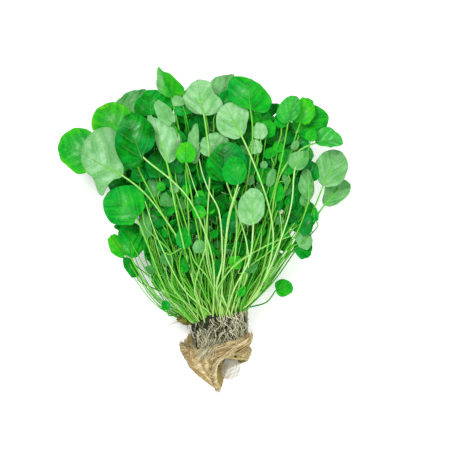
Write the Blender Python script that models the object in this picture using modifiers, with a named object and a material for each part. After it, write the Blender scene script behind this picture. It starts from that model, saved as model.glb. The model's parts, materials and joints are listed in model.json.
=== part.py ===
# A live bunch of watercress, lying on its side with its root plug still on.
# The frame is X across the bunch, Y from the roots to the leaves and Z up from the table.
# Every size and place below is in millimetres, and MM turns it into Blender's metres.

import math
from collections import namedtuple

import bmesh
import bpy
from mathutils import Matrix, Vector

MM = 0.001

# The root plug: a block of growing medium, turned a little anticlockwise and narrower at its foot.
PLUG_WIDTH = 37.0
PLUG_DEPTH = 31.0
PLUG_LENGTH = 23.0
PLUG_TAPER = 0.82
PLUG_LEAN = -2.0
PLUG_TURN = math.radians(13.3)
PLUG_TOP = Vector((9.8, -57.2, 19.5))
PLUG_ROUNDING = 4.5

# The fibre mat: a torn sheet wrapped round the plug like a paper cone, open at the front right.
# It is widest at its top row and lies on the table, sunk by what its flat underside has lost.
MAT_THICKNESS = 2.4
MAT_TOP = (9.0, -73.7)
MAT_TIP = (9.5, -104.5)
MAT_TOP_HALF = (21.2, 17.6)
MAT_TIP_HALF = 1.8
MAT_SINK = 1.0
MAT_ROUND = 20
MAT_ROWS = 9
MAT_OPENS = (28.0, 96.0)
MAT_CLOSES = (342.0, 290.0)
MAT_FLAP = 5.5
MAT_FRONT_DIP = 3.5

# The small leaves in the heart of the crown, as one lumpy mass.
HEART_CENTRE = Vector((5.0, 41.6, 32.5))
HEART_HALF = Vector((66.0, 46.0, 17.5))

# The thin stems below them, as one fluted fan from the plug's top to the small leaves.
FAN_FOOT_HALF = (11.5, 6.5)
FAN_HEAD_HALF = (42.0, 11.5)
FAN_HEAD_Y = 14.0
FAN_FLUTES = 14

LEAF_THICKNESS = 0.8
LEAF_SPOKES = 16
LEAF_RINGS = (0.55, 1.0)
STEM_RADIUS = 0.85
STEM_STEPS = 8
GAP = 0.35
LEAF_GAP = 0.9
CENTRE_SHIFT = Vector((-0.26, 1.11, 0.0))  # puts the middle of the whole bunch over the origin

# One leaf on its stem. base is where the blade meets the stem, heading is the way the blade
# points seen from above (0 along +X, 90 along +Y), pitch lifts its tip and roll its left edge.
# cup is how far the rim stands above the middle, fold lifts the two halves off the midrib.
# foot is the stem's place on the plug's top (across, up), and via are points on its way.
Sprig = namedtuple("Sprig", "base heading pitch roll length width cup fold foot via")

FRONT_SPRIGS = (
    # The left side of the crown.
    Sprig((-70, 46, 41), 160, -8, -6, 25, 28, -1.5, 0,
          foot=(-17, 7), via=((-32, -6, 37), (-58, 30, 43))),
    Sprig((-52, 34.5, 55), 152, -4, 4, 29, 40, -2, 1,
          foot=(-14, 10), via=((-9, -21, 44), (-34.5, 19.5, 56))),
    Sprig((-39.7, 46, 65), 110, 4, -8, 30, 27, 2, 3,
          foot=(-4, 13.5), via=((6, -20, 50), (-7, 15.6, 60), (-20, 31, 64))),
    Sprig((-52, 62, 49), 125, -6, -10, 26, 27, 1.5, 0,
          foot=(-8, 10.5), via=((-12, -18, 40.5), (-38, 30, 51))),
    Sprig((-33.8, 71, 50), 96, 6, -6, 20, 24, 1.5, 1,
          foot=(-6, 8), via=((-6, -16, 43), (-20, 30, 53))),
    Sprig((-20.8, 84.5, 54), 112, 14, 24, 22, 17, 0, 4,
          foot=(0, 8.5), via=((-2, -12, 47), (-12, 45, 54))),
    Sprig((-23.4, 42.3, 58), 106, 2, 8, 31, 20, -2, -2,
          foot=(-10, 13.5), via=((-12.4, -13.7, 50.5), (-19.5, 20, 57))),
    Sprig((-41.6, 6.5, 51), 143, -6, -6, 26, 25, 1.5, 1,
          foot=(-17, 11), via=((-22, -46, 37), (-35, -14, 47))),
    Sprig((-47.5, -19.5, 34), 95, 4, -22, 22, 19, -2, 1,
          foot=(-17, 3), via=((-24, -50, 27), (-39, -34, 31))),
    # The middle.
    Sprig((0.3, 73.1, 61), 101, 4, 6, 25, 26, -2, 0,
          foot=(3, 9), via=((2, -12, 49), (4, 40, 56))),
    Sprig((29.9, 76, 67.5), 97, 0, 6, 24, 28.5, 2, 1,
          foot=(7, 10), via=((20, -15, 47), (28, 30, 56), (31.8, 62, 61))),
    Sprig((24.6, 59.2, 63), 118, 0, 4, 25, 21.5, -1.5, 0,
          foot=(15, 11), via=((35, -43, 38), (44.9, -11, 52), (42, 14, 60))),
    Sprig((14.3, 29.3, 59), 94, 2, 0, 27, 28, 2, 1,
          foot=(8.5, 14), via=((28, -15.6, 47), (24.7, 1.5, 54))),
    Sprig((22.5, 28.6, 66), 102, 0, -4, 18.6, 17.5, -1.5, 0,
          foot=(0.5, 14), via=((13.4, -17, 51), (16, 9, 61))),
    Sprig((31.9, 2.6, 63), 93, 2, 4, 24, 18, 1, 0,
          foot=(5, 14.3), via=((19.5, -39, 42), (29.6, -19, 54))),
    # The right side.
    Sprig((54, 69.6, 60), 72, 0, 14, 17, 12, 1, 2,
          foot=(11, 10), via=((30, -20, 44), (44, 20, 53))),
    Sprig((57.9, 38.4, 57), 55, 0, 0, 14, 13, 1, 0,
          foot=(17, 8), via=((39.5, -33, 39), (50.7, -4, 48), (57, 24, 55))),
    Sprig((60.5, 62.4, 50), 45, 0, 8, 24.4, 24, 2, 1,
          foot=(12.5, 7.5), via=((35, -22, 41), (52, 25, 48))),
    Sprig((72.8, 56, 58), 8, -4, 22, 18, 18, 1, 2,
          foot=(14.8, 4), via=((35.5, -37, 32), (42, -7, 48), (46.8, 30, 53), (59, 48, 53))),
    Sprig((77.4, 28, 44), 66, 0, 6, 25, 21, 1.5, 0,
          foot=(17.3, -3.5), via=((44, -33, 28), (68, 5, 39))),
    Sprig((78.5, 16, 36), 47, -6, 6, 21, 17, 1, 0,
          foot=(17, -6.5), via=((45, -34, 22), (66, -4, 31))),
    Sprig((68.3, 16.9, 49), 95, 0, 30, 23, 14, 1, 1,
          foot=(17.3, -0.5), via=((41.5, -32, 33), (60, -3, 44))),
    Sprig((46.8, -40.3, 16), 20, 0, 4, 11.5, 11.5, 1, 0,
          foot=(17.3, -9), via=((33, -49.4, 12.5), (41, -46, 14.5))),
)
BACK_SPRIGS = (
    # The leaves that the bunch lies on. Their own height follows from the table.
    Sprig((-42, 20, 0), 132, -12, 0, 26, 26, -1, 0,
          foot=(-13, -8), via=((-22, -20, 9.5), (-34, 8, 8.5))),
    Sprig((-14, 46, 0), 100, -10, 0, 27, 27, -1, 0,
          foot=(-5, -11), via=((-5, -22, 7), (-11, 20, 6.5))),
    Sprig((34, 30, 0), 74, -10, 0, 27, 26, -1, 0,
          foot=(4, -11.5), via=((20, -22, 7.5), (29, 8, 7))),
    Sprig((58, 4, 0), 38, -12, 0, 24, 24, -1, 0,
          foot=(13, -8), via=((35, -28, 9), (50, -8, 8.5))),
)


def clear_scene():
    for obj in list(bpy.data.objects):
        bpy.data.objects.remove(obj)


def new_collection(name, hidden=False):
    made = bpy.data.collections.new(name)
    made.hide_render = hidden
    bpy.context.scene.collection.children.link(made)
    return made


def make_material(name, colour, roughness):
    material = bpy.data.materials.new(name)
    material.use_nodes = True
    shader = material.node_tree.nodes["Principled BSDF"]
    shader.inputs["Base Color"].default_value = (*colour, 1.0)
    shader.inputs["Roughness"].default_value = roughness
    shader.inputs["Metallic"].default_value = 0.0
    return material


def to_metres(point):
    return (Vector(point) + CENTRE_SHIFT) * MM


def add_mesh(name, mesh_edit, material, collection):
    """Makes an object from a bmesh whose points are in millimetres."""
    for vertex in mesh_edit.verts:
        vertex.co = to_metres(vertex.co)
    mesh = bpy.data.meshes.new(name)
    mesh_edit.to_mesh(mesh)
    mesh_edit.free()
    mesh.shade_smooth()
    mesh.materials.append(material)
    obj = bpy.data.objects.new(name, mesh)
    collection.objects.link(obj)
    return obj


def add_solidify(obj, thickness, offset=0.0):
    wall = obj.modifiers.new("Thickness", "SOLIDIFY")
    wall.thickness = thickness * MM
    wall.offset = offset
    wall.use_even_offset = True
    return wall


def add_boolean(obj, cutter, operation="DIFFERENCE"):
    cut = obj.modifiers.new("Cut", "BOOLEAN")
    cut.operation = operation
    cut.object = cutter
    cut.solver = "EXACT"
    return cut


def leaf_turn(sprig):
    """The turn from the blade's own axes (X across, Y along, Z up) to the bunch's."""
    heading = Matrix.Rotation(math.radians(sprig.heading - 90), 3, "Z")
    pitch = Matrix.Rotation(math.radians(sprig.pitch), 3, "X")
    roll = Matrix.Rotation(math.radians(-sprig.roll), 3, "Y")
    return heading @ pitch @ roll


def leaf_point(sprig, angle, ring):
    """A point of the blade in its own axes. angle 0 is the base and ring 1 the rim."""
    half_width, half_length = sprig.width / 2, sprig.length / 2
    broad_base = 1 + 0.12 * math.cos(angle)
    across = ring * half_width * math.sin(angle) * broad_base
    along = half_length * (1 - ring * math.cos(angle))
    rise = sprig.cup * ring**2 + sprig.fold * abs(across) / half_width
    fade = 1 - 0.9 * max(0.0, ring * math.cos(angle)) ** 4  # the base stays on the stem's end
    return Vector((across, along, (rise - sprig.cup) * fade))


def make_leaf(name, sprig, material, collection):
    """A thin blade: one fan of triangles round its middle, then rings of quads out to the rim."""
    turn = leaf_turn(sprig)
    blade = bmesh.new()

    def place(angle, ring):
        return blade.verts.new(Vector(sprig.base) + turn @ leaf_point(sprig, angle, ring))

    middle = place(0.0, 0.0)
    angles = [math.tau * spoke / LEAF_SPOKES for spoke in range(LEAF_SPOKES)]
    rings = [[place(angle, ring) for angle in angles] for ring in LEAF_RINGS]
    for spoke in range(LEAF_SPOKES):
        after = (spoke + 1) % LEAF_SPOKES
        blade.faces.new((middle, rings[0][spoke], rings[0][after]))
        for inner, outer in zip(rings, rings[1:]):
            blade.faces.new((inner[spoke], outer[spoke], outer[after], inner[after]))
    leaf = add_mesh(name, blade, material, collection)
    add_solidify(leaf, LEAF_THICKNESS)
    return leaf


def let_down(sprig):
    """The sprig with its blade lowered until its lowest point lies on the table."""
    turn = leaf_turn(sprig)
    angles = (math.tau * spoke / LEAF_SPOKES for spoke in range(LEAF_SPOKES))
    lowest = min((turn @ leaf_point(sprig, angle, ring)).z for angle in angles for ring in LEAF_RINGS)
    return sprig._replace(base=(*sprig.base[:2], LEAF_THICKNESS * 0.6 - lowest))


def plug_spot(across, up):
    """A point of the plug's top face, in its own axes."""
    return PLUG_TOP + Vector((across * math.cos(PLUG_TURN), across * math.sin(PLUG_TURN), up))


def smooth_path(points, steps):
    """A Catmull-Rom curve through the points, as steps + 1 points evenly spaced in its parameter."""
    ends = [points[0] * 2 - points[1], *points, points[-1] * 2 - points[-2]]
    path = []
    for step in range(steps + 1):
        place = step / steps * (len(points) - 1)
        span = min(int(place), len(points) - 2)
        t = place - span
        a, b, c, d = ends[span : span + 4]
        slope, bend, twist = c - a, 2 * a - 5 * b + 4 * c - d, 3 * b - a - 3 * c + d
        path.append(0.5 * (2 * b + slope * t + bend * t**2 + twist * t**3))
    return path


def stem_path(sprig):
    """The stem's centre line, from just above the plug to just short of the blade."""
    plug_up = Vector((-math.sin(PLUG_TURN), math.cos(PLUG_TURN), 0))
    foot = plug_spot(*sprig.foot)
    along_blade = leaf_turn(sprig) @ Vector((0, 1, 0))
    head = Vector(sprig.base) - along_blade * LEAF_GAP
    neck = head - along_blade * 5.0
    way = (Vector(sprig.via[0]) - foot).normalized()
    foot += plug_up * (GAP + STEM_RADIUS * way.cross(plug_up).length)
    points = [foot, *(Vector(point) for point in sprig.via), neck, head]
    return smooth_path(points, STEM_STEPS)


def make_tube(name, path, radii, material, collection):
    curve = bpy.data.curves.new(name, "CURVE")
    curve.dimensions = "3D"
    curve.bevel_depth = STEM_RADIUS * MM
    curve.bevel_resolution = 1
    curve.use_fill_caps = True
    spline = curve.splines.new("POLY")
    spline.points.add(len(path) - 1)
    for point, place, radius in zip(spline.points, path, radii):
        point.co = (*to_metres(place), 1.0)
        point.radius = radius / STEM_RADIUS
    curve.materials.append(material)
    tube = bpy.data.objects.new(name, curve)
    collection.objects.link(tube)
    return tube


def make_stem(name, sprig, material, collection):
    path = stem_path(sprig)
    thin_end = 0.55 if sprig.width < 15 else 0.7
    radii = [STEM_RADIUS + (thin_end - STEM_RADIUS) * step / STEM_STEPS for step in range(STEM_STEPS + 1)]
    return make_tube(name, path, radii, material, collection)


def heart_bump(direction):
    """How far a point of the small leaves' mass stands out, so that it looks like heaped leaves."""
    x, y, z = direction
    broad = math.sin(9 * x + 2) * math.cos(8 * y + 1)
    narrow = math.sin(13 * y + 7 * z) * math.cos(15 * x - 1)
    return 1 + 0.045 * broad + 0.03 * narrow


def heart_mesh(clearance):
    ball = bmesh.new()
    bmesh.ops.create_icosphere(ball, subdivisions=4, radius=1.0)
    for vertex in ball.verts:
        direction = vertex.co.normalized()
        reach = Vector((half + clearance for half in HEART_HALF))
        vertex.co = HEART_CENTRE + reach * direction * heart_bump(direction)
    return ball


def make_small_leaves(material, collection):
    return add_mesh("small_leaves", heart_mesh(0.0), material, collection)


def fan_ring(share):
    """One section of the fan of thin stems, from share 0 at the plug to 1 inside the crown."""
    ease = share**0.75
    half_x = FAN_FOOT_HALF[0] + (FAN_HEAD_HALF[0] - FAN_FOOT_HALF[0]) * ease
    half_z = FAN_FOOT_HALF[1] + (FAN_HEAD_HALF[1] - FAN_FOOT_HALF[1]) * ease
    turn = PLUG_TURN * (1 - share)
    foot = PLUG_TOP + Vector((-math.sin(PLUG_TURN), math.cos(PLUG_TURN), 0)) * GAP
    head = Vector((HEART_CENTRE.x, FAN_HEAD_Y, HEART_CENTRE.z))
    centre = foot.lerp(head, share)
    points = []
    for step in range(FAN_FLUTES * 2):
        angle = math.tau * step / (FAN_FLUTES * 2)
        flute = 1.0 if step % 2 else 0.93
        x, z = half_x * flute * math.cos(angle), half_z * flute * math.sin(angle)
        points.append(centre + Vector((x * math.cos(turn), x * math.sin(turn), z)))
    return points


def make_thin_stems(material, collection, cutter):
    fan = bmesh.new()
    rings = [[fan.verts.new(point) for point in fan_ring(step / 4)] for step in range(5)]
    count = FAN_FLUTES * 2
    for lower, upper in zip(rings, rings[1:]):
        for step in range(count):
            after = (step + 1) % count
            fan.faces.new((lower[step], lower[after], upper[after], upper[step]))
    fan.faces.new(list(reversed(rings[-1])))
    fan.faces.new(rings[0])
    bmesh.ops.recalc_face_normals(fan, faces=fan.faces)
    obj = add_mesh("thin_stems", fan, material, collection)
    add_boolean(obj, cutter)
    return obj


def make_plug(material, collection):
    block = bmesh.new()
    bmesh.ops.create_cube(block, size=1.0)
    bmesh.ops.scale(block, vec=(PLUG_WIDTH, PLUG_LENGTH, PLUG_DEPTH), verts=block.verts)
    bmesh.ops.translate(block, vec=(0, -PLUG_LENGTH / 2, 0), verts=block.verts)
    foot = [vertex for vertex in block.verts if vertex.co.y < -PLUG_LENGTH / 2]
    bmesh.ops.scale(block, vec=(PLUG_TAPER, 1, PLUG_TAPER), verts=foot)
    bmesh.ops.translate(block, vec=(PLUG_LEAN, 0, 0), verts=foot)
    bmesh.ops.rotate(block, matrix=Matrix.Rotation(PLUG_TURN, 3, "Z"), verts=block.verts)
    bmesh.ops.translate(block, vec=PLUG_TOP, verts=block.verts)
    plug = add_mesh("root_plug", block, material, collection)
    rounding = plug.modifiers.new("Rounding", "BEVEL")
    rounding.width = PLUG_ROUNDING * MM
    rounding.segments = 2
    return plug


def blend(start, end, share):
    """A smooth step from start to end as share goes from 0 to 1."""
    share = min(max(share, 0.0), 1.0)
    return start + (end - start) * share * share * (3 - 2 * share)


def mat_point(row, turn):
    """A point of the fibre mat's inner side. row runs 0 to 1 from its top to its tip."""
    narrowing = 1 - row**2.2
    half_x, half_z = (MAT_TIP_HALF + (half - MAT_TIP_HALF) * narrowing for half in MAT_TOP_HALF)
    opens, closes = blend(*MAT_OPENS, row * 2 - 0.1), blend(*MAT_CLOSES, row * 2 - 0.3)
    angle = math.radians(opens + (closes - opens) * turn)
    squareness = blend(0.55, 1.0, row * 1.5)  # a boxy section round the plug, a round one at the tip
    across = math.copysign(abs(math.cos(angle)) ** squareness, math.cos(angle))
    up = math.copysign(abs(math.sin(angle)) ** squareness, math.sin(angle))
    edge = max(0.0, 1 - 3 * row)
    flap = edge * max(0.0, -math.cos(angle)) ** 6
    dip = edge * max(0.0, math.sin(angle)) ** 2
    lean = PLUG_TURN * (1 - row)
    out = half_x * across - 0.4 * MAT_FLAP * flap
    middle_x, middle_y = (top + (tip - top) * row for top, tip in zip(MAT_TOP, MAT_TIP))
    x = middle_x + out * math.cos(lean)
    y = middle_y + out * math.sin(lean) + MAT_FLAP * flap - MAT_FRONT_DIP * dip
    z = half_z + MAT_THICKNESS - MAT_SINK + half_z * up
    return Vector((x, y, z))


def make_mat(material, collection, table):
    sheet = bmesh.new()
    rows = []
    for row in range(MAT_ROWS):
        turns = [mat_point(row / (MAT_ROWS - 1), step / MAT_ROUND) for step in range(MAT_ROUND + 1)]
        rows.append([sheet.verts.new(point) for point in turns])
    for upper, lower in zip(rows, rows[1:]):
        for step in range(MAT_ROUND):
            sheet.faces.new((upper[step], upper[step + 1], lower[step + 1], lower[step]))
    mat = add_mesh("fibre_mat", sheet, material, collection)
    add_solidify(mat, MAT_THICKNESS, offset=1.0)
    add_boolean(mat, table)
    return mat


def lump(name, centre, half, material, collection, detail=2):
    """A rounded lump of roots, dented by a few slow waves."""
    ball = bmesh.new()
    bmesh.ops.create_icosphere(ball, subdivisions=detail, radius=1.0)
    for vertex in ball.verts:
        x, y, z = direction = vertex.co.normalized()
        dent = 1 + 0.08 * math.sin(5 * x + 3 * y) * math.cos(4 * z)
        vertex.co = Vector(centre) + Vector(half) * direction * dent
    return add_mesh(name, ball, material, collection)


def add_cutter(name, mesh_edit, collection):
    cutter = add_mesh(name, mesh_edit, make_material("cutter", (0.5, 0.5, 0.5), 1.0), collection)
    cutter.display_type = "WIRE"
    cutter.hide_render = True
    return cutter


def make_table_cutter(collection):
    """Everything below the table's top, to cut the mat flat where it rests."""
    block = bmesh.new()
    bmesh.ops.create_cube(block, size=1.0)
    bmesh.ops.scale(block, vec=(400, 400, 40), verts=block.verts)
    bmesh.ops.translate(block, vec=(0, 0, -20), verts=block.verts)
    return add_cutter("table_cutter", block, collection)


def make_heart_cutter(collection):
    """The small leaves' mass with a gap round it, to hollow the fan's upper end."""
    return add_cutter("heart_cutter", heart_mesh(GAP * 2), collection)


def main():
    clear_scene()
    parts = new_collection("watercress")
    cutters = new_collection("cutters", hidden=True)
    blade = make_material("leaf_green", (0.035, 0.30, 0.045), 0.4)
    stalk = make_material("stem_green", (0.48, 0.68, 0.25), 0.45)
    small = make_material("small_leaf_green", (0.03, 0.25, 0.04), 0.5)
    earth = make_material("root_grey", (0.20, 0.18, 0.12), 0.9)
    fibre = make_material("fibre_tan", (0.55, 0.40, 0.22), 0.9)
    pale = make_material("root_white", (0.72, 0.70, 0.64), 0.6)

    make_plug(earth, parts)
    make_mat(fibre, parts, make_table_cutter(cutters))
    lump("root_liner", (14, -91, 14), (9, 8, 8.5), pale, parts)
    lump("side_roots", (-14.5, -62.5, 14), (4.5, 3.5, 4.5), fibre, parts)
    make_small_leaves(small, parts)
    make_thin_stems(stalk, parts, make_heart_cutter(cutters))
    sprigs = [*FRONT_SPRIGS, *(let_down(sprig) for sprig in BACK_SPRIGS)]
    for number, sprig in enumerate(sprigs, start=1):
        make_leaf(f"leaf_{number:02d}", sprig, blade, parts)
        make_stem(f"stem_{number:02d}", sprig, stalk, parts)


main()
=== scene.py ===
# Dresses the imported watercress: blades, stalks, roots and the torn mat, under soft studio light.
# Lengths are millimetres in the bunch's own frame, and place() turns them into metres.
import json
import math
import random
from collections import namedtuple

import bmesh
import bpy
from mathutils import Matrix, Vector, noise

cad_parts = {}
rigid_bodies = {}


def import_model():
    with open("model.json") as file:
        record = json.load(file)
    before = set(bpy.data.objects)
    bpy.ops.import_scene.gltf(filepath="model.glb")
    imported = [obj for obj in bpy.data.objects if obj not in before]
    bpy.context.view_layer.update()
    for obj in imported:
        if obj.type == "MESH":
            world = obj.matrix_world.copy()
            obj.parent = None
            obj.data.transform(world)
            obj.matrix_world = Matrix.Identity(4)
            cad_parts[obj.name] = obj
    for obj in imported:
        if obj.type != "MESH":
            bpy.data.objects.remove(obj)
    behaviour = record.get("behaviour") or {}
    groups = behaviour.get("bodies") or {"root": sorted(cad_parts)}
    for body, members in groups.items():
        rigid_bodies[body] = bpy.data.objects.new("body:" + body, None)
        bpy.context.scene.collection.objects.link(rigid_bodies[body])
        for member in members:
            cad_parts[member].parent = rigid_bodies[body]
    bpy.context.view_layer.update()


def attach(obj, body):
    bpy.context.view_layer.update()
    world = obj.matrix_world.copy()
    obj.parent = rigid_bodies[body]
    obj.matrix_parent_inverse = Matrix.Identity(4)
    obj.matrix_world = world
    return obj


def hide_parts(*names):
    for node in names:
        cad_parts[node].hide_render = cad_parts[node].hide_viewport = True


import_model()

mm = 0.001
centreShift = Vector((-0.26, 1.11, 0.0))  # puts the middle of the bunch over the origin
onTable = 0.06  # no blade hangs lower than this


def place(point):
    return (Vector(point) + centreShift) * mm


def climb(height):  # straight up from the table
    return Vector((0, 0, height))


def clamp(value):
    return min(max(value, 0.0), 1.0)


def ease(start, end, share):  # a soft step from start to end while share runs 0 to 1
    share = clamp(share)
    return start + (end - start) * share * share * (3 - 2 * share)


def bell(offset, spread):  # 1 in the middle, fading out over the spread
    return math.exp(-((offset / spread) ** 2))


def grain(x, y=0.0, z=0.0):  # smooth noise from -1 to 1
    return noise.noise(Vector((x, y, z)))


def mathNode(operation, reflected=False):  # a method that adds one Math node
    def method(self, *others):
        terms = (*others, self) if reflected else (self, *others)
        return self.graph.add("ShaderNodeMath", {"operation": operation}, dict(enumerate(terms)))
    return method


class Wire:  # one value in a node tree, so that sums can be written as sums
    def __init__(self, graph, socket):
        self.graph, self.socket = graph, socket

    def pick(self, name):  # another output of the same node
        return Wire(self.graph, self.socket.node.outputs[name])

    def step(self, low, high):  # 0 below low, 1 above high, smooth between
        return self.graph.add("ShaderNodeMapRange", {"interpolation_type": "SMOOTHSTEP"},
                              {"Value": self, "From Min": low, "From Max": high})

    __add__, __radd__ = mathNode("ADD"), mathNode("ADD", True)
    __sub__, __rsub__ = mathNode("SUBTRACT"), mathNode("SUBTRACT", True)
    __mul__, __rmul__ = mathNode("MULTIPLY"), mathNode("MULTIPLY", True)
    __truediv__, __pow__ = mathNode("DIVIDE"), mathNode("POWER")
    size, fraction = mathNode("ABSOLUTE"), mathNode("FRACT")
    most, least = mathNode("MAXIMUM"), mathNode("MINIMUM")


class Graph:  # a node tree, with a short method for each kind of node that is used often
    def __init__(self, tree):
        self.tree = tree

    def add(self, kind, settings={}, inputs={}, out=0):
        node = self.tree.nodes.new(kind)
        for name, value in settings.items():
            if name == "stops":
                first, *between, last = value
                ends = node.color_ramp.elements
                (ends[0].position, ends[0].color), (ends[1].position, ends[1].color) = first, last
                for position, colour in between:
                    node.color_ramp.elements.new(position).color = colour
            else:
                setattr(node, name, value)
        for key, value in inputs.items():
            if isinstance(value, Wire):
                self.tree.links.new(value.socket, node.inputs[key])
            else:
                node.inputs[key].default_value = value
        return Wire(self, node.outputs[out])

    def mix(self, share, first, second):
        return self.add("ShaderNodeMix", {"data_type": "RGBA"}, {0: share, 6: first, 7: second}, 2)

    def ramp(self, stops, share):
        return self.add("ShaderNodeValToRGB", {"stops": stops}, {"Fac": share})

    def read(self, name, out="Fac"):  # one of the values that the mesh carries
        return self.add("ShaderNodeAttribute", {"attribute_name": name}, out=out)

    def spot(self, stretch):
        coords = self.add("ShaderNodeTexCoord", out="Object")
        return self.add("ShaderNodeMapping", {}, {"Vector": coords, "Scale": stretch})

    def cloud(self, scale, detail=3.0, roughness=0.5, stretch=(1, 1, 1)):
        return self.add("ShaderNodeTexNoise", {}, {
            "Vector": self.spot(stretch), "Scale": scale, "Detail": detail, "Roughness": roughness})

    def cells(self, scale, feature="DISTANCE_TO_EDGE", stretch=(1, 1, 1)):
        return self.add("ShaderNodeTexVoronoi", {"feature": feature},
                        {"Vector": self.spot(stretch), "Scale": scale}, "Distance")

    def relief(self, height, strength, distance):
        return self.add("ShaderNodeBump", {}, {"Height": height, "Strength": strength, "Distance": distance},
                        "Normal")

    def random(self, low, high, seed):
        return self.add("FunctionNodeRandomValue", {"data_type": "FLOAT"}, {2: low, 3: high, "Seed": seed}, 1)


class Skin(Graph):  # the node tree of a new material
    def __init__(self, name, plain):
        self.material = bpy.data.materials.new(name)
        self.material.use_nodes = True
        super().__init__(self.material.node_tree)
        self.shader = self.tree.nodes["Principled BSDF"]
        for socket, value in plain.items():
            self.shader.inputs[socket].default_value = value

    def feed(self, **wires):
        names = {"baseColor": "Base Color", "roughness": "Roughness", "alpha": "Alpha", "normal": "Normal"}
        for key, wire in wires.items():
            self.tree.links.new(wire.socket, self.shader.inputs[names[key]])
        return self.material


# Leaf skin. The blade attribute holds across (-1 to 1), along (0 base to 1 tip) and side (1 underside).
leafSkin = {
    "upper": ((0, (0.0002, 0.05, 0.002, 1)), (0.28, (0.0004, 0.18, 0.005, 1)),
              (0.52, (0.001, 0.35, 0.014, 1)), (0.78, (0.032, 0.46, 0.01, 1)), (1, (0.12, 0.52, 0.02, 1))),
    "under": ((0, (0.012, 0.15, 0.022, 1)), (0.45, (0.06, 0.31, 0.065, 1)), (0.8, (0.165, 0.45, 0.155, 1)),
              (1, (0.27, 0.56, 0.26, 1))),
    "blueShade": (0.0005, 0.24, 0.055, 1),
    "upperVein": (0.15, 0.52, 0.11, 1), "underVein": (0.3, 0.6, 0.22, 1),
    "sheen": (0.44, 0.7, 0.49, 1),  # painted highlight: the whitish sheen along the folds
    # Side veins: pairs along the midrib, how steeply they leave it, how much they curve towards the
    # tip, and how close the veins from the base stand.
    "pairs": 3.1, "slope": 0.62, "bow": 1.3, "basal": 1.5,
}


def veinLevel(across, along):  # whole numbers lie on a side vein
    half = abs(across)
    past = along - leafSkin["slope"] * half ** leafSkin["bow"]
    return max(past, 0) * leafSkin["pairs"] + min(past, 0) / max(half, 0.05) * leafSkin["basal"]


def makeLeafSkin():
    skin = Skin("leafSkin", {"Specular IOR Level": 0.03})
    across = skin.add("ShaderNodeSeparateXYZ", {}, {0: skin.read("blade", "Vector")})
    along, side, half = across.pick("Y"), across.pick("Z"), across.size()
    tone, veiny = skin.read("tone"), skin.read("veiny")  # veiny is 1 on a large blade, 0 on the smallest
    slow, fine = skin.cloud(110, 3, 0.6), skin.cloud(700, 3, 0.6)

    past = along - half ** leafSkin["bow"] * leafSkin["slope"]
    level = past.most(0) * leafSkin["pairs"] + past.least(0) / half.most(0.05) * leafSkin["basal"]
    level = level + (slow - 0.5) * 0.6
    toVein = ((level + 0.5).fraction() - 0.5).size()
    sideVein = (1 - toVein.step(0.0, 0.13)) * (1 - half.step(0.35, 0.95))
    midrib = 1 - (half / (1.12 - along).most(0.1)).step(0.01, 0.06)
    net = 1 - skin.cells(800).step(0.0, 0.12)
    vein = midrib.most(sideVein * 0.6 * veiny).most(net * 0.1)

    between = (toVein.step(0.0, 0.5) - 0.5) * veiny  # highest midway between two side veins
    # The bulges between the side veins are also painted a little lighter, a painted highlight.
    mottled = tone + 0.06 + (slow - 0.5) * 0.95 + (fine - 0.5) * 0.4 + between * 0.12
    shaded = (skin.cloud(55, 2) - 0.25).step(0.18, 0.42) * (1 - tone.step(0.35, 0.65)) * 0.45
    upper = skin.mix(shaded, skin.ramp(leafSkin["upper"], mottled), leafSkin["blueShade"])
    upper = skin.mix(vein * 0.4, upper, leafSkin["upperVein"])
    under = skin.mix(vein * 0.6, skin.ramp(leafSkin["under"], mottled), leafSkin["underVein"])
    # Painted highlight: whitish streaks on the bulges between the veins, where the sheen spots lie.
    streaks = skin.cloud(380, 4, 0.75).step(0.42, 0.6)
    paintedShine = skin.read("sheen") * (streaks * toVein.step(0.1, 0.4) * 0.75 + 0.15)
    colour = skin.mix(paintedShine, skin.mix(side, upper, under), leafSkin["sheen"])
    height = slow * 1.6 + fine * 0.5 + between * 0.7 * (1 - side * 2) - vein * (1 - side * 2) * 0.6
    return skin.feed(baseColor=colour, roughness=0.3 + side * 0.2 + (fine - 0.5) * 0.25,
                     normal=skin.relief(height, 0.9, 0.0008))


# Stalks and ribs. along runs 0 at the plug to 1 at the leaf, tone from deep green to whitish.
# The deep green of the lowest tones is painted shade for stalks deep in the bunch.
stalkSkin = {"deep": (0.005, 0.26, 0.006, 1), "green": (0.045, 0.41, 0.012, 1),
             "fresh": (0.16, 0.56, 0.045, 1), "white": (0.5, 0.8, 0.29, 1), "foot": (0.42, 0.64, 0.16, 1)}


def makeStalkSkin():
    skin = Skin("stalkSkin", {"Specular IOR Level": 0.15})
    tone, along = skin.read("tone"), skin.read("along")
    streak = skin.cloud(240, 3, 0.6, (3.0, 0.35, 3.0))
    mixed = tone + (streak - 0.5) * 0.55
    # Low tones take the deep green: painted shade.
    body = skin.mix(mixed.step(0.0, 0.3), stalkSkin["deep"], stalkSkin["green"])
    body = skin.mix(mixed.step(0.2, 0.6), body, stalkSkin["fresh"])
    body = skin.mix(mixed.step(0.55, 1.05), body, stalkSkin["white"])
    pale = (1 - along.step(0.0, 0.3)) * (mixed - 0.1).step(0.0, 0.7)
    return skin.feed(baseColor=skin.mix(pale, body, stalkSkin["foot"]), roughness=0.34 + streak * 0.2,
                     normal=skin.relief(streak, 0.3, 0.0003))


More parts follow.
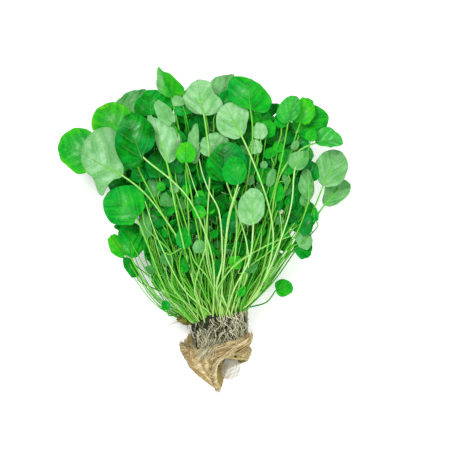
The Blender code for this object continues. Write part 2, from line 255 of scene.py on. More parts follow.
# What carries it all: the plug, the mat, the liner and the roots.
earthSkin = {"dark": (0.006, 0.01, 0.006, 1), "mould": (0.055, 0.055, 0.03, 1),
             "moss": (0.035, 0.06, 0.022, 1)}
rootSkin = {"olive": (0.085, 0.085, 0.03, 1), "bone": (0.28, 0.275, 0.14, 1), "white": (0.7, 0.68, 0.5, 1)}
tangleSkin = {"mud": (0.13, 0.12, 0.018, 1), "olive": (0.31, 0.285, 0.045, 1), "straw": (0.52, 0.52, 0.15, 1)}
# hole is the painted shade of the small holes in the mat.
fibreSkin = {"brown": (0.22, 0.145, 0.04, 1), "tan": (0.56, 0.43, 0.175, 1), "cream": (0.84, 0.74, 0.5, 1),
             "olive": (0.5, 0.41, 0.15, 1), "orange": (0.56, 0.29, 0.06, 1), "hole": (0.012, 0.008, 0.003, 1)}
# stain tints the film's real stains and also paints shade into its creases.
linerSkin = {"clear": (0.6, 0.6, 0.52, 1), "stainAndCreaseShade": (0.2, 0.19, 0.11, 1), "beige": (0.26, 0.21, 0.09, 1),
             "paintedGlow": 0.34}  # a painted glow: emission that stands in for the light coming through the film


def makeEarthSkin():
    skin = Skin("earthSkin", {"Specular IOR Level": 0.25})
    lumps, crumbs = skin.cloud(210, 4, 0.65), skin.cells(950, "F1")
    colour = skin.mix(lumps.step(0.42, 0.7), earthSkin["dark"], earthSkin["mould"])
    colour = skin.mix(skin.cloud(90, 2).step(0.55, 0.75) * 0.6, colour, earthSkin["moss"])
    return skin.feed(baseColor=colour, roughness=0.7 + lumps * 0.25,
                     normal=skin.relief(lumps + crumbs * 0.5, 0.8, 0.0008))


def makeThreadSkin(name, low, middle, high):  # three tints mixed by the thread's own tone
    skin = Skin(name, {"Specular IOR Level": 0.25})
    patch = skin.cloud(330, 3, 0.6)
    mixed = skin.read("tone") + (patch - 0.5) * 0.4
    colour = skin.mix(mixed.step(0.5, 1.0), skin.mix(mixed.step(0.0, 0.5), low, middle), high)
    return skin.feed(baseColor=colour, roughness=0.55 + patch * 0.35, normal=skin.relief(patch, 0.3, 0.0002))


def makeMatSkin():
    skin = Skin("matSkin", {"Specular IOR Level": 0.2})
    long, short = skin.cloud(420, 3, 0.65, (1, 0.3, 1)), skin.cloud(620, 3, 0.7, (0.4, 1, 0.6))
    strands, broad = skin.cells(520, "F1", (1.4, 0.3, 1)), skin.cloud(130, 4, 0.7)
    mixed = skin.read("tone") + (long - 0.5) * 2.3 + (short - 0.5) * 2.3 + (broad - 0.5) * 0.8
    colour = skin.mix(mixed.step(0.05, 0.55), fibreSkin["brown"], fibreSkin["tan"])
    colour = skin.mix(mixed.step(0.55, 1.05), colour, fibreSkin["cream"])
    colour = skin.mix(skin.read("orange") * 0.85, colour, fibreSkin["orange"])
    colour = skin.mix(skin.read("inner") * (1 - long * 0.6), colour, fibreSkin["olive"])
    # Painted shade: the small holes are dark spots painted on the sheet.
    colour = skin.mix(skin.read("hole"), colour, fibreSkin["hole"])
    return skin.feed(baseColor=colour, roughness=0.75 + short * 0.2,
                     normal=skin.relief(long + short + strands * 0.6, 0.8, 0.0006))


def makeLinerSkin():
    # The film glows a little, painted light in place of light shining through it.
    skin = Skin("linerSkin", {"Specular IOR Level": 0.45, "Emission Color": linerSkin["clear"],
                              "Emission Strength": linerSkin["paintedGlow"]})
    folds, stains, crease = skin.cloud(160, 3, 0.5), skin.cloud(120, 2), skin.read("crease")
    colour = skin.mix(stains.step(0.45, 0.75) * 0.4, linerSkin["clear"], linerSkin["stainAndCreaseShade"])
    colour = skin.mix(skin.read("beige") * (0.5 + folds * 0.8), colour, linerSkin["beige"])
    # The creases are painted darker with the stain colour: painted shade.
    colour = skin.mix(crease * 0.8, colour, linerSkin["stainAndCreaseShade"])
    return skin.feed(baseColor=colour, roughness=0.18 + folds * 0.3,
                     alpha=0.34 + crease * 0.6 + (folds - 0.5) * 0.5,
                     normal=skin.relief(folds + crease, 0.6, 0.0008))


leafMaterial, stalkMaterial, earthMaterial = makeLeafSkin(), makeStalkSkin(), makeEarthSkin()
rootMaterial = makeThreadSkin("rootSkin", *rootSkin.values())
tangleMaterial = makeThreadSkin("tangleSkin", *tangleSkin.values())
fibreMaterial = makeThreadSkin("fibreSkin", *(fibreSkin[key] for key in ("brown", "tan", "cream")))
matMaterial, linerMaterial = makeMatSkin(), makeLinerSkin()
print("materials ready:", len(bpy.data.materials))


# Meshes and growth trees.
def newObject(name, mesh, *materials):
    obj = bpy.data.objects.new(name, mesh)
    bpy.context.scene.collection.objects.link(obj)
    for material in materials:
        mesh.materials.append(material)
    return obj


def dress(piece, slot, *nodes):  # hangs a finished piece on the one body, in place of its CAD nodes
    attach(piece, "root")
    if nodes:
        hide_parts(*nodes)


def addValues(mesh, values):  # named point attributes
    for key, numbers in values.items():
        isVector = key == "blade"
        layer = mesh.attributes.new(key, "FLOAT_VECTOR" if isVector else "FLOAT", "POINT")
        flat = [part for number in numbers for part in number] if isVector else numbers
        layer.data.foreach_set("vector" if isVector else "value", flat)


def makeMesh(name, points, edges=(), faces=(), **values):
    mesh = bpy.data.meshes.new(name)
    mesh.from_pydata([tuple(point) for point in points], edges, faces)
    addValues(mesh, values)
    return mesh


def newBall(fineness):
    ball = bmesh.new()
    bmesh.ops.create_icosphere(ball, subdivisions=fineness, radius=1.0)
    return ball


def bentMesh(name, form, bend):  # the form with each point where bend puts it
    for vertex in form.verts:
        vertex.co = place(bend(vertex.co))
    mesh = bpy.data.meshes.new(name)
    form.to_mesh(mesh)
    form.free()
    return mesh


def newGrowth(name, inputs):  # an empty geometry tree with named inputs
    tree = bpy.data.node_groups.new(name, "GeometryNodeTree")
    tree.interface.new_socket("Geometry", in_out="OUTPUT", socket_type="NodeSocketGeometry")
    for label, kind in {"Geometry": "Geometry", **inputs}.items():
        tree.interface.new_socket(label, in_out="INPUT", socket_type="NodeSocket" + kind)
    graph = Graph(tree)
    return graph, graph.add("NodeGroupInput")


def endGrowth(graph, shape, material):  # smooth, real geometry with its material
    smooth = graph.add("GeometryNodeSetShadeSmooth", {}, {0: shape})
    real = graph.add("GeometryNodeRealizeInstances", {}, {0: smooth})
    skinned = graph.add("GeometryNodeSetMaterial", {}, {0: real, "Material": material})
    output = graph.tree.nodes.new("NodeGroupOutput")
    graph.tree.links.new(skinned.socket, output.inputs[0])
    return graph.tree


def grow(name, source, tree, settings):  # runs the tree on source and keeps a plain mesh
    modifier = source.modifiers.new("growth", "NODES")
    modifier.node_group = tree
    for item in tree.interface.items_tree:
        if item.in_out == "INPUT" and item.name in settings:
            modifier[item.identifier] = settings[item.name]
    view = bpy.context.evaluated_depsgraph_get()
    mesh = bpy.data.meshes.new_from_object(source.evaluated_get(view))
    bpy.data.objects.remove(source)
    mesh.name = name
    return newObject(name, mesh)


def makeTubeGrowth():  # a round section swept along every chain of edges, as thick as its thick attribute
    graph, start = newGrowth("sweepTubes", {"Sides": "Int", "Swell": "Float", "Skin": "Material"})
    curve = graph.add("GeometryNodeMeshToCurve", {}, {0: start})
    thick = graph.add("GeometryNodeInputNamedAttribute", {"data_type": "FLOAT"}, {"Name": "thick"})
    ring = graph.add("GeometryNodeCurvePrimitiveCircle", {"mode": "RADIUS"},
                     {"Resolution": start.pick("Sides"), "Radius": 1.0})
    tube = graph.add("GeometryNodeCurveToMesh", {}, {
        "Curve": curve, "Profile Curve": ring, "Scale": thick * start.pick("Swell"), "Fill Caps": True})
    return endGrowth(graph, tube, start.pick("Skin"))


tubeGrowth = makeTubeGrowth()


class Threads:  # gathers many thin curves, then sweeps them in one go
    def __init__(self):
        self.points, self.edges, self.values = [], [], {"thick": [], "along": [], "tone": []}

    def add(self, path, radii, along, tone):
        for step, point in enumerate(path):
            share = step / (len(path) - 1)
            if step:
                self.edges.append((len(self.points) - 1, len(self.points)))
            self.points.append(place(point))
            self.values["thick"].append(radii(share) * mm)
            self.values["along"].append(along(share))
            self.values["tone"].append(tone(share) if callable(tone) else tone)

    def sweep(self, name, material, sides=6):
        mesh = makeMesh(name, self.points, self.edges, **self.values)
        settings = {"Sides": sides, "Swell": 1.0, "Skin": material}
        return grow(name, newObject(name + "Paths", mesh), tubeGrowth, settings)


def same(share):  # along runs with the thread itself
    return share


def taper(start, end, power=1.0):
    return lambda share: start + (end - start) * share**power


def smoothPath(points, steps):  # a Catmull-Rom curve through the points
    points = [Vector(point) for point in points]
    ends = [points[0] * 2 - points[1], *points, points[-1] * 2 - points[-2]]
    path = []
    for step in range(steps + 1):
        where = step / steps * (len(points) - 1)
        span = min(int(where), len(points) - 2)
        t = where - span
        a, b, c, d = ends[span : span + 4]
        slope, bend, twist = c - a, 2 * a - 5 * b + 4 * c - d, 3 * b - a - 3 * c + d
        path.append(0.5 * (2 * b + slope * t + bend * t**2 + twist * t**3))
    return path


def evenPath(path, count):  # the same way with its points evenly apart
    lengths = [0.0]
    for before, after in zip(path, path[1:]):
        lengths.append(lengths[-1] + (after - before).length)
    even, span = [], 0
    for step in range(count):
        goal = lengths[-1] * step / (count - 1)
        while span < len(path) - 2 and lengths[span + 1] < goal:
            span += 1
        share = (goal - lengths[span]) / (lengths[span + 1] - lengths[span])
        even.append(path[span].lerp(path[span + 1], share))
    return even


# The plug's frame, which stalks and roots start from.
plug = {
    "width": 38.4, "depth": 31.0, "length": 23.0, "taper": 0.84, "lean": -2.0, "shift": -0.9,
    "turn": math.radians(13.3), "top": Vector((9.8, -57.2, 19.5)), "rounding": 4.5,
    "hump": (3.6, -3.5, 7.0),  # the dark mound between the stalks' feet: height, across, spread
}
plugAcross = Vector((math.cos(plug["turn"]), math.sin(plug["turn"]), 0))
plugUp = Vector((-math.sin(plug["turn"]), math.cos(plug["turn"]), 0))  # the way the stalks leave


def plugSpot(across, up, rise=0.0):
    return plug["top"] + plugAcross * across + climb(up) + plugUp * rise


# Blades. base is where the stalk meets the blade, heading the way it points (90 is away from the
# roots), pitch lifts the tip, roll the left edge, cup the rim, fold the two halves off the midrib.
Sprig = namedtuple("Sprig", "base heading pitch roll length width cup fold foot via look",
                   defaults=[None, (), None])
bladePlan = {
    "spokes": 64, "rings": 16, "thickness": 0.36,
    # For every blade: how egg-shaped it is, how wide the notch at its base and its tip are in radians,
    # how high it swells between the veins, the groove along the midrib and its width, how much the
    # spokes crowd along the midrib, and how much of the thickness the rim lacks.
    "egg": 0.12, "notchWidth": 0.30, "tipWidth": 0.40, "quilt": 0.34, "groove": 0.32, "grooveWidth": 0.9,
    "crowd": 0.34, "thinRim": 0.6,
}
plainLook = {
    "tone": 0.35,  # 0 darkest, 1 yellow lime
    "edge": 0.0,  # how much lighter the rim is
    "under": 0,  # 1 where the pale underside faces up
    # The outline: how far it reaches every 45 degrees from the base, counted over the right. It may
    # be given as (degrees, reach) too, for all of it or where there is more to say.
    "rim": (),
    "notch": 0.13, "tip": 0.0, "wave": 0.012, "ripple": 0.7, "seed": 0.0,
    "bends": (),  # (degrees, spread in degrees, lift in mm) pushes the rim up or down
    "sheen": (),  # painted highlights, whitish spots: (across, along, size, strength)
    "turned": (),  # (degrees, spread in degrees, from ring) where the rim shows its other side
    "stem": 0.55,  # the stalk's tone
}


def leaf(*shape, rim=(), **look):  # a sprig that looks plain but for what is said
    plain = [reach for reach in rim if not isinstance(reach, tuple)]
    pairs = [pair for pair in rim if isinstance(pair, tuple)]
    rim = sorted(pairs + [(45 * number, reach) for number, reach in enumerate(plain)])
    return Sprig(*shape, look={**plainLook, "rim": rim, **look})


frontSprigs = (
    # The left side of the crown.
    leaf((-70, 46, 41), 160, -8, -6, 25, 28, -1.5, 0, (-17, 7), ((-32, -6, 37), (-58, 30, 43)), tone=0.5,
         edge=0.2, wave=0.02, ripple=0.8, sheen=((0.15, 0.42, 0.55, 0.6), (0.3, 0.2, 0.3, 0.35)),
         rim=(1, 1, 1.13, 1.25, 1.14, 1.02, 0.94, 1.05, (247, 0.88)),
         bends=((200, 40, -1.5), (262, 20, 1.2))),
    leaf((-52, 34.5, 55), 152, -4, 4, 29, 40, -2, 1, (-14, 10), ((-9, -21, 44), (-34.5, 19.5, 56)),
         tone=0.72, under=1, notch=0, stem=0.75, ripple=0.9, wave=0.006,
         sheen=((0.25, 0.55, 0.4, 0.7), (-0.15, 0.72, 0.35, 0.45), (-0.45, 0.3, 0.25, 0.4)),
         rim=((0, 1), (45, 0.64), (90, 1.1), (120, 1.38), (150, 1.36), (180, 1.17), (208, 0.86),
              (244, 0.58), (273, 0.66), (302, 1.03), (309, 1), (316, 0.84), (329, 0.74), (343, 0.76)),
         bends=((125, 30, 2.5), (180, 26, -3), (225, 22, 4), (300, 22, -4.5), (60, 25, -2)),
         turned=(222, 20, 0.9)),
    leaf((-39.7, 46, 65), 110, 4, -8, 30, 27, 2, 3, (-4, 13.5),
         ((6, -20, 50), (-7, 15.6, 60), (-20, 31, 64)), tone=0.26, stem=0.8, notch=0,
         sheen=((0.22, 0.68, 0.2, 0.75), (0.18, 0.45, 0.16, 0.55), (-0.3, 0.8, 0.2, 0.3)),
         rim=((8, 0.96), (40, 0.97), (90, 0.97), (135, 0.98), (180, 0.92), (225, 0.8), (270, 0.98),
              (305, 1.2), (335, 1.46), (352, 1.28)),
         bends=((330, 30, -2.5), (100, 30, 1))),
    leaf((-52, 62, 49), 125, -6, -10, 26, 27, 1.5, 0, (-8, 10.5), ((-12, -18, 40.5), (-38, 30, 51)),
         tone=0.56, edge=0.3, sheen=((0.2, 0.35, 0.35, 0.45), (-0.2, 0.5, 0.3, 0.35)),
         rim=(1, 0.9, 0.86, 0.78, 0.75, 0.95, 1.12, 1)),
    leaf((-33.8, 71, 50), 96, 6, -6, 20, 24, 1.5, 1, (-6, 8), ((-6, -16, 43), (-20, 30, 53)), tone=0.36,
         sheen=((-0.3, 0.45, 0.3, 0.12), (0.2, 0.6, 0.15, 0.2)),
         rim=(0.83, 1.2, 1.25, 1.03, 0.89, 0.75, 0.86, 0.95)),
    leaf((-20.8, 84.5, 54), 112, 14, 24, 22, 17, 0, 4, (0, 8.5), ((-2, -12, 47), (-12, 45, 54)), tone=0.62,
         notch=0, edge=0.1,
         rim=((0, 1), (30, 1.2), (66, 1.62), (90, 1.3), (135, 0.8), (163, 0.8), (180, 1.02),
              (197, 0.78), (225, 0.58), (270, 0.52), (315, 0.73)),
         turned=(250, 62, 0.18), bends=((250, 60, 3),)),
    leaf((-23.4, 42.3, 58), 106, 2, 8, 31, 20, -2, -2, (-10, 13.5), ((-12.4, -13.7, 50.5), (-19.5, 20, 57)),
         tone=0.8, under=1, notch=0, stem=0.7, ripple=0.8,
         sheen=((0.35, 0.48, 0.45, 0.75), (-0.1, 0.85, 0.25, 0.6)),
         rim=(1, 1.05, 1.23, 0.92, 0.97, 0.78, 0.38, 0.42, (203, 1.22), (345, 0.66)),
         bends=((60, 35, -2.5), (100, 30, 2))),
    leaf((-41.6, 6.5, 51), 143, -6, -6, 26, 25, 1.5, 1, (-17, 11), ((-22, -46, 37), (-35, -14, 47)),
         tone=0.46, stem=0.6, sheen=((-0.2, 0.35, 0.35, 0.35), (0.35, 0.6, 0.25, 0.3)),
         rim=(0.98, 1.06, 1.28, 1.1, 1.08, 1.07, 1.03, 0.9, (338, 1)),
         bends=((60, 35, -1.8), (225, 50, -1.2))),
    leaf((-47.5, -19.5, 34), 95, 4, -22, 22, 19, -2, 1, (-17, 3), ((-24, -50, 27), (-39, -34, 31)),
         tone=0.48, stem=0.6, notch=0.03, sheen=((-0.35, 0.35, 0.25, 0.35),),
         rim=((0, 0.97), (45, 1), (90, 1.02), (135, 1.25), (180, 1.15), (225, 1.15), (255, 0.85),
              (285, 0.62), (320, 0.68), (342, 0.85))),
    # The middle.
    leaf((0.3, 73.1, 61), 101, 4, 6, 25, 26, -2, 0, (3, 9), ((2, -12, 49), (4, 40, 56)), tone=0.84, under=1,
         notch=0, stem=0.75,
         rim=((0, 1), (25, 1.16), (48, 1.22), (66, 1), (84, 0.74), (108, 0.72), (135, 0.88),
              (180, 0.84), (225, 0.81), (270, 0.9), (300, 0.86), (325, 0.9)),
         bends=((55, 30, -3), (310, 30, -2), (95, 25, 1.5))),
    leaf((29.9, 76, 67.5), 97, 0, 6, 24, 28.5, 2, 1, (7, 10), ((20, -15, 47), (28, 30, 56), (31.8, 62, 61)),
         tone=0.42, edge=0.06, stem=0.5, notch=0, sheen=((-0.25, 0.5, 0.3, 0.35),),
         rim=((0, 0.97), (25, 1.38), (45, 1.25), (90, 0.77), (135, 0.66), (180, 0.75), (215, 1.08),
              (228, 1.1), (270, 0.9), (315, 0.84))),
    leaf((24.6, 59.2, 63), 118, 0, 4, 25, 21.5, -1.5, 0, (15, 11),
         ((35, -43, 38), (44.9, -11, 52), (42, 14, 60), (33.5, 39, 62)), tone=0.86, under=1, notch=0,
         stem=0.8, rim=(1, 0.77, 1.05, 0.96, 0.88, 0.96, 1.07, 1, (70, 0.9)),
         bends=((120, 25, -1.5), (240, 40, 1.2))),
    leaf((14.3, 29.3, 59), 94, 2, 0, 27, 28, 2, 1, (8.5, 14), ((28, -15.6, 47), (24.7, 1.5, 54)), tone=0.28,
         stem=0.75, notch=0.02, sheen=((0.1, 0.75, 0.35, 0.3),),
         rim=(0.92, 1, 1.03, 1.06, 0.92, 0.78, 0.86, 0.93), bends=((180, 45, 2.2), (250, 40, -1.5))),
    leaf((22.5, 28.6, 66), 102, 0, -4, 18.6, 17.5, -1.5, 0, (0.5, 14), ((13.4, -17, 51), (16, 9, 61)),
         tone=0.44, stem=0.85, notch=0.02, sheen=((0.1, 0.5, 0.35, 0.12),),
         rim=(1.02, 0.82, 0.8, 0.95, 0.96, 0.95, 1.03, 1.05)),
    leaf((31.9, 2.6, 63), 93, 2, 4, 24, 18, 1, 0, (5, 14.3), ((19.5, -39, 42), (29.6, -19, 54)), tone=0.8,
         under=1, notch=0, stem=0.9, rim=(0.98, 0.87, 0.88, 1.04, 0.96, 0.93, 1.06, 1.12)),
    # The right side.
    leaf((54, 69.6, 60), 72, 0, 14, 17, 12, 1, 2, (11, 10), ((30, -20, 44), (44, 20, 53), (51, 50, 58)),
         tone=0.52, stem=0.5, notch=0, sheen=((0, 0.5, 1.3, 0.35),),
         rim=(1.2, 1, 1.05, 1, 0.96, 1.07, 1.3, 1.5)),
    leaf((57.9, 38.4, 57), 55, 0, 0, 14, 13, 1, 0, (17, 8),
         ((39.5, -33, 39), (50.7, -4, 48), (56.8, 17, 54)), tone=0.58, under=1, stem=1, notch=0,
         rim=(1, 0.85, 0.75, 0.9, 1, 0.9, 1.1, 1.1)),
    leaf((60.5, 62.4, 50), 45, 0, 8, 24.4, 24, 2, 1, (12.5, 7.5), ((35, -22, 41), (52, 25, 48)), tone=0.48,
         sheen=((-0.2, 0.5, 0.3, 0.2),), rim=(1.15, 1.05, 1, 1, 0.8, 0.77, 0.7, 0.9),
         bends=((200, 40, 1.5),)),
    leaf((72.8, 56, 58), 8, -4, 22, 18, 18, 1, 2, (14.8, 4),
         ((35.5, -37, 32), (42, -7, 48), (46.8, 30, 53), (56, 46, 54), (64, 53.5, 56.5)), tone=0.5, notch=0,
         stem=0.7, sheen=((0, 0.5, 1.3, 0.35),),
         rim=((0, 1.1), (45, 0.55), (90, 0.5), (130, 0.78), (150, 0.93), (180, 0.8), (225, 0.75),
              (270, 0.94), (315, 1.03)),
         bends=((85, 45, -2.5),)),
    leaf((77.4, 28, 44), 66, 0, 6, 25, 21, 1.5, 0, (17.3, -3.5), ((42.6, -33, 28), (67.5, 5, 39)),
         tone=0.62, edge=0.1, notch=0, stem=0.5, under=1, sheen=((0.2, 0.6, 0.4, 0.3),),
         rim=(1, 0.98, 1.02, 1.05, 1, 1.05, 1.04, 0.9), bends=((20, 25, 1.5),)),
    leaf((78.5, 16, 36), 47, -6, 6, 21, 17, 1, 0, (17, -6.5), ((43.2, -34, 22), (65, -4, 31)), tone=0.58,
         notch=0, stem=0.5, under=1, rim=(1.05, 0.83, 0.8, 1.1, 1.05, 0.95, 0.9, 0.78)),
    leaf((68.3, 16.9, 49), 95, 0, 30, 23, 14, 1, 1, (17.3, -0.5), ((40.6, -32, 33), (60, -3, 44)),
         tone=0.62, under=1, notch=0, stem=0.5, rim=(0.85, 0.7, 0.72, 0.76, 0.95, 0.92, 0.92, 0.85)),
    leaf((46.8, -40.3, 16), 20, 0, 4, 11.5, 11.5, 1, 0, (17.3, -9),
         ((32, -51.2, 12.5), (41.3, -48.2, 14.5)), tone=0.54, stem=0.15, notch=0.05,
         rim=(0.97, 1.1, 1.05, 1.18, 1.02, 0.95, 0.96, 1)),
)
backSprigs = (
    # The leaves that the bunch lies on. Their own height follows from the table.
    leaf((-42, 20, 0), 132, -12, 0, 26, 26, -1, 0, (-13, -8), ((-22, -20, 9.5), (-34, 8, 8.5)), tone=0.4),
    leaf((-14, 46, 0), 100, -10, 0, 27, 27, -1, 0, (-5, -11), ((-5, -22, 7), (-11, 20, 6.5)), tone=0.5),
    leaf((34, 30, 0), 74, -10, 0, 27, 26, -1, 0, (4, -11.5), ((20, -22, 7.5), (29, 8, 7)), tone=0.3),
    leaf((58, 4, 0), 38, -12, 0, 24, 24, -1, 0, (13, -8), ((35, -28, 9), (50, -8, 8.5)), tone=0.45,
         rim=(1, 0.92, 0.8, 0.68, 0.62, 0.68, 0.85, 0.95)),
)
cadLeaf = {"thickness": 0.8, "spokes": 16, "rings": (0.55, 1.0), "gap": 0.35, "stem": 0.85}


def bladeTurn(sprig):
    heading = Matrix.Rotation(math.radians(sprig.heading - 90), 3, "Z")
    pitch = Matrix.Rotation(math.radians(sprig.pitch), 3, "X")
    return heading @ pitch @ Matrix.Rotation(math.radians(-sprig.roll), 3, "Y")


def roundCurve(pairs, degrees):  # a closed smooth curve through (degrees, value) pairs
    count = len(pairs)
    last = next((k for k in reversed(range(count)) if pairs[k][0] <= degrees), count - 1)
    (a0, r0), (a1, r1), (a2, r2), (a3, r3) = (pairs[(last + k) % count] for k in (-1, 0, 1, 2))
    before, span, after = ((b - a) % 360 for a, b in ((a0, a1), (a1, a2), (a2, a3)))
    slope1 = (r2 - r0) / (before + span) * span
    slope2 = (r3 - r1) / (span + after) * span
    t = (degrees - a1) % 360 / span
    return (r1 * (2 * t**3 - 3 * t**2 + 1) + r2 * (3 * t**2 - 2 * t**3)
            + slope1 * (t**3 - 2 * t**2 + t) + slope2 * (t**3 - t**2))


def rimReach(angle, look):  # the outline's distance from the middle, 1 on a plain oval
    turned, seed = math.remainder(angle, math.tau), look["seed"]
    reach = roundCurve(look["rim"], math.degrees(angle) % 360) if look["rim"] else 1.0
    reach -= look["notch"] * bell(turned, bladePlan["notchWidth"])
    reach += look["tip"] * bell(math.pi - abs(turned), bladePlan["tipWidth"])
    return reach + look["wave"] * (math.sin(6 * angle + seed) + 0.6 * math.sin(11 * angle + 2.3 * seed))


def nearAngle(angle, degrees, spread):  # 1 at this angle, fading out over the spread
    return bell(math.remainder(angle - math.radians(degrees), math.tau), math.radians(spread))


def bladePoint(sprig, angle, ring, detail=True):  # a point of the blade in its own axes
    look, seed = sprig.look, sprig.look["seed"]
    reach = ring * rimReach(angle, look) if detail else ring
    halfWidth, halfLength = sprig.width / 2, sprig.length / 2
    across = reach * halfWidth * math.sin(angle) * (1 + bladePlan["egg"] * math.cos(angle))
    along = halfLength * (1 - reach * math.cos(angle))
    rise = sprig.cup * ring**2 + sprig.fold * abs(across) / halfWidth
    fade = 1 - 0.9 * max(0.0, ring * math.cos(angle)) ** 4
    height = (rise - sprig.cup) * fade
    if detail:
        u, v = across / halfWidth, along / sprig.length
        bulge = 0.5 - 0.5 * math.cos(math.tau * veinLevel(u, v))
        groove = bell(across, bladePlan["grooveWidth"]) * (1 - v)
        lift = bladePlan["quilt"] * bulge * min(1, 4 * abs(u)) - bladePlan["groove"] * groove
        height += lift * (-1 if look["under"] else 1) * (1 - ring**6)
        slow = math.sin(4 * angle + 1.7 * seed) + 0.7 * math.sin(7 * angle + seed)
        height += look["ripple"] * ring**3 * slow * min(1, sprig.width / 20) * fade
        for degrees, spread, lift in look["bends"]:
            height += lift * nearAngle(angle, degrees, spread) * ring**3
    return Vector((across, along, height))


def bladeSpot(sprig, across, along, rise):  # a place over the blade, in the bunch's axes
    halfWidth, halfLength = sprig.width / 2, sprig.length / 2
    down = 1 - along / halfLength
    angle = math.atan2(across / halfWidth, down)
    for _ in range(3):
        sidewise = across / (halfWidth * (1 + bladePlan["egg"] * math.cos(angle)))
        angle = math.atan2(sidewise, down)
    ring = math.hypot(sidewise, down) / rimReach(angle, sprig.look)
    own = bladePoint(sprig, angle, min(ring, 1.0)) + climb(rise)
    return Vector(sprig.base) + bladeTurn(sprig) @ own


def letDown(sprig):  # lowers a back sprig until its blade lies on the table
    turn, spokes = bladeTurn(sprig), cadLeaf["spokes"]
    lowest = min((turn @ bladePoint(sprig, math.tau * spoke / spokes, ring, False)).z
                 for spoke in range(spokes) for ring in cadLeaf["rings"])
    return sprig._replace(base=(*sprig.base[:2], cadLeaf["thickness"] * 0.6 - lowest))


def bladeShell(sprig, plan):  # points, faces and attributes of a closed blade
    spokes, rings = plan["spokes"], plan["rings"]
    points, values = [], {"blade": [], "tone": [], "sheen": [], "veiny": []}
    turn, base, look = bladeTurn(sprig), Vector(sprig.base), sprig.look
    angles = [math.tau * spoke / spokes for spoke in range(spokes)]
    angles = [angle - bladePlan["crowd"] * math.sin(2 * angle) for angle in angles]
    spots = [(0.0, 0.0)]  # (ring, angle), from the blade's middle out
    spots += [((step / rings) ** 0.85, angle) for step in range(1, rings + 1) for angle in angles]
    for up in (1, -1):
        for ring, angle in spots:
            rise = plan["thickness"] / 2 * (1 - bladePlan["thinRim"] * ring**6)
            own = bladePoint(sprig, angle, ring) + climb(up * rise)
            u, v = own.x / (sprig.width / 2), own.y / sprig.length
            side = (1 + up) // 2 if look["under"] else (1 - up) // 2
            if look["turned"]:
                degrees, spread, fromRing = look["turned"]
                turned = min(1.0, 1.6 * nearAngle(angle, degrees, spread))
                side += (1 - 2 * side) * turned * ease(0, 1, (ring - fromRing) / 0.12)
            spot = base + turn @ own
            points.append(Vector((*spot.xy, max(spot.z, onTable if base.length else spot.z))))
            values["blade"].append((u, v, side))
            values["tone"].append(look["tone"] + look["edge"] * ring**3)
            # how strongly the painted highlight spots whiten this point
            values["sheen"].append(sum(strength * math.exp(-((u - x) ** 2 + 4 * (v - y) ** 2) / size**2)
                                       for x, y, size, strength in look["sheen"]))
            values["veiny"].append(min(1.0, (sprig.width / 22) ** 2))
    faces, half, pairs = [], len(spots), [(spoke, (spoke + 1) % spokes) for spoke in range(spokes)]
    for offset in (0, half):
        for spoke, after in pairs:
            wedge = [(offset, offset + 1 + spoke, offset + 1 + after)]
            for a in range(offset + 1, offset + 1 + (rings - 1) * spokes, spokes):
                b = a + spokes
                wedge.append((a + spoke, b + spoke, b + after, a + after))
            faces += [face[::-1] for face in wedge] if offset else wedge
    top, bottom = half - spokes, 2 * half - spokes
    faces += [(top + spoke, bottom + spoke, bottom + after, top + after) for spoke, after in pairs]
    return points, faces, values


class Leaves:  # gathers blades into one mesh
    def __init__(self):
        self.points, self.faces, self.values = [], [], {"blade": [], "tone": [], "sheen": [], "veiny": []}

    def add(self, sprig, plan):
        points, faces, values = bladeShell(sprig, plan)
        first = len(self.points)
        self.points += [place(point) for point in points]
        self.faces += [tuple(first + corner for corner in face) for face in faces]
        for key, numbers in values.items():
            self.values[key] += numbers

    def make(self, name):
        mesh = makeMesh(name, self.points, (), self.faces, **self.values)
        mesh.shade_smooth()
        return newObject(name, mesh, leafMaterial)


ribPlan = {
    "steps": 12, "reach": 0.78, "midThick": (0.46, 0.12),
    "sideSteps": 9, "sideReach": 0.72, "stopsAt": 0.85, "sideThick": (0.17, 0.05), "levels": (0, 1),
}
stalkPlan = {"foot": 0.54, "top": 0.54, "thinTop": 0.44, "steps": 34, "rounds": 5, "buried": 2.5}


def ribRise(look, radius):  # a rib stands out of the underside and is out of sight from above
    return 0.13 + 0.3 * radius if look["under"] else -(0.10 + radius)


def addRibs(threads, sprig, tone):  # the veins that stand out on the blade's underside
    thick = [size * min(1.0, sprig.width / 24) for size in ribPlan["sideThick"]]
    rise = ribRise(sprig.look, ribPlan["sideThick"][0])
    for level in ribPlan["levels"]:
        for hand in (-1, 1):
            path = []
            for step in range(ribPlan["sideSteps"]):
                half = ribPlan["sideReach"] * step / (ribPlan["sideSteps"] - 1)
                v = 0.03 + level / leafSkin["pairs"] + leafSkin["slope"] * half ** leafSkin["bow"]
                limit = ribPlan["stopsAt"] * rimReach(math.atan2(hand * half, 1 - 2 * v), sprig.look)
                if math.hypot(half, 1 - 2 * v) >= limit and step > 1:
                    break
                path.append(bladeSpot(sprig, hand * half * sprig.width / 2, v * sprig.length, rise))
            if len(path) > 3:
                threads.add(path, taper(*thick), lambda share: 1.0, tone)


def stalkRoute(sprig, ribSpots):  # from the plug to the blade, then on along the midrib
    foot = plugSpot(*sprig.foot)
    way = (Vector(sprig.via[0]) - foot).normalized()
    foot = foot + plugUp * (cadLeaf["gap"] + cadLeaf["stem"] * way.cross(plugUp).length)
    route = smoothPath([foot, *sprig.via, ribSpots[0]], 90)
    path = evenPath(route, stalkPlan["steps"])[:-1] + ribSpots
    for _ in range(stalkPlan["rounds"]):  # rounds off the bend where the stalk meets the blade
        for step in range(1, stalkPlan["steps"] + sprig.look["under"]):
            path[step] = (path[step - 1] + path[step] * 2 + path[step + 1]) / 4
    return [foot - plugUp * stalkPlan["buried"], *path]


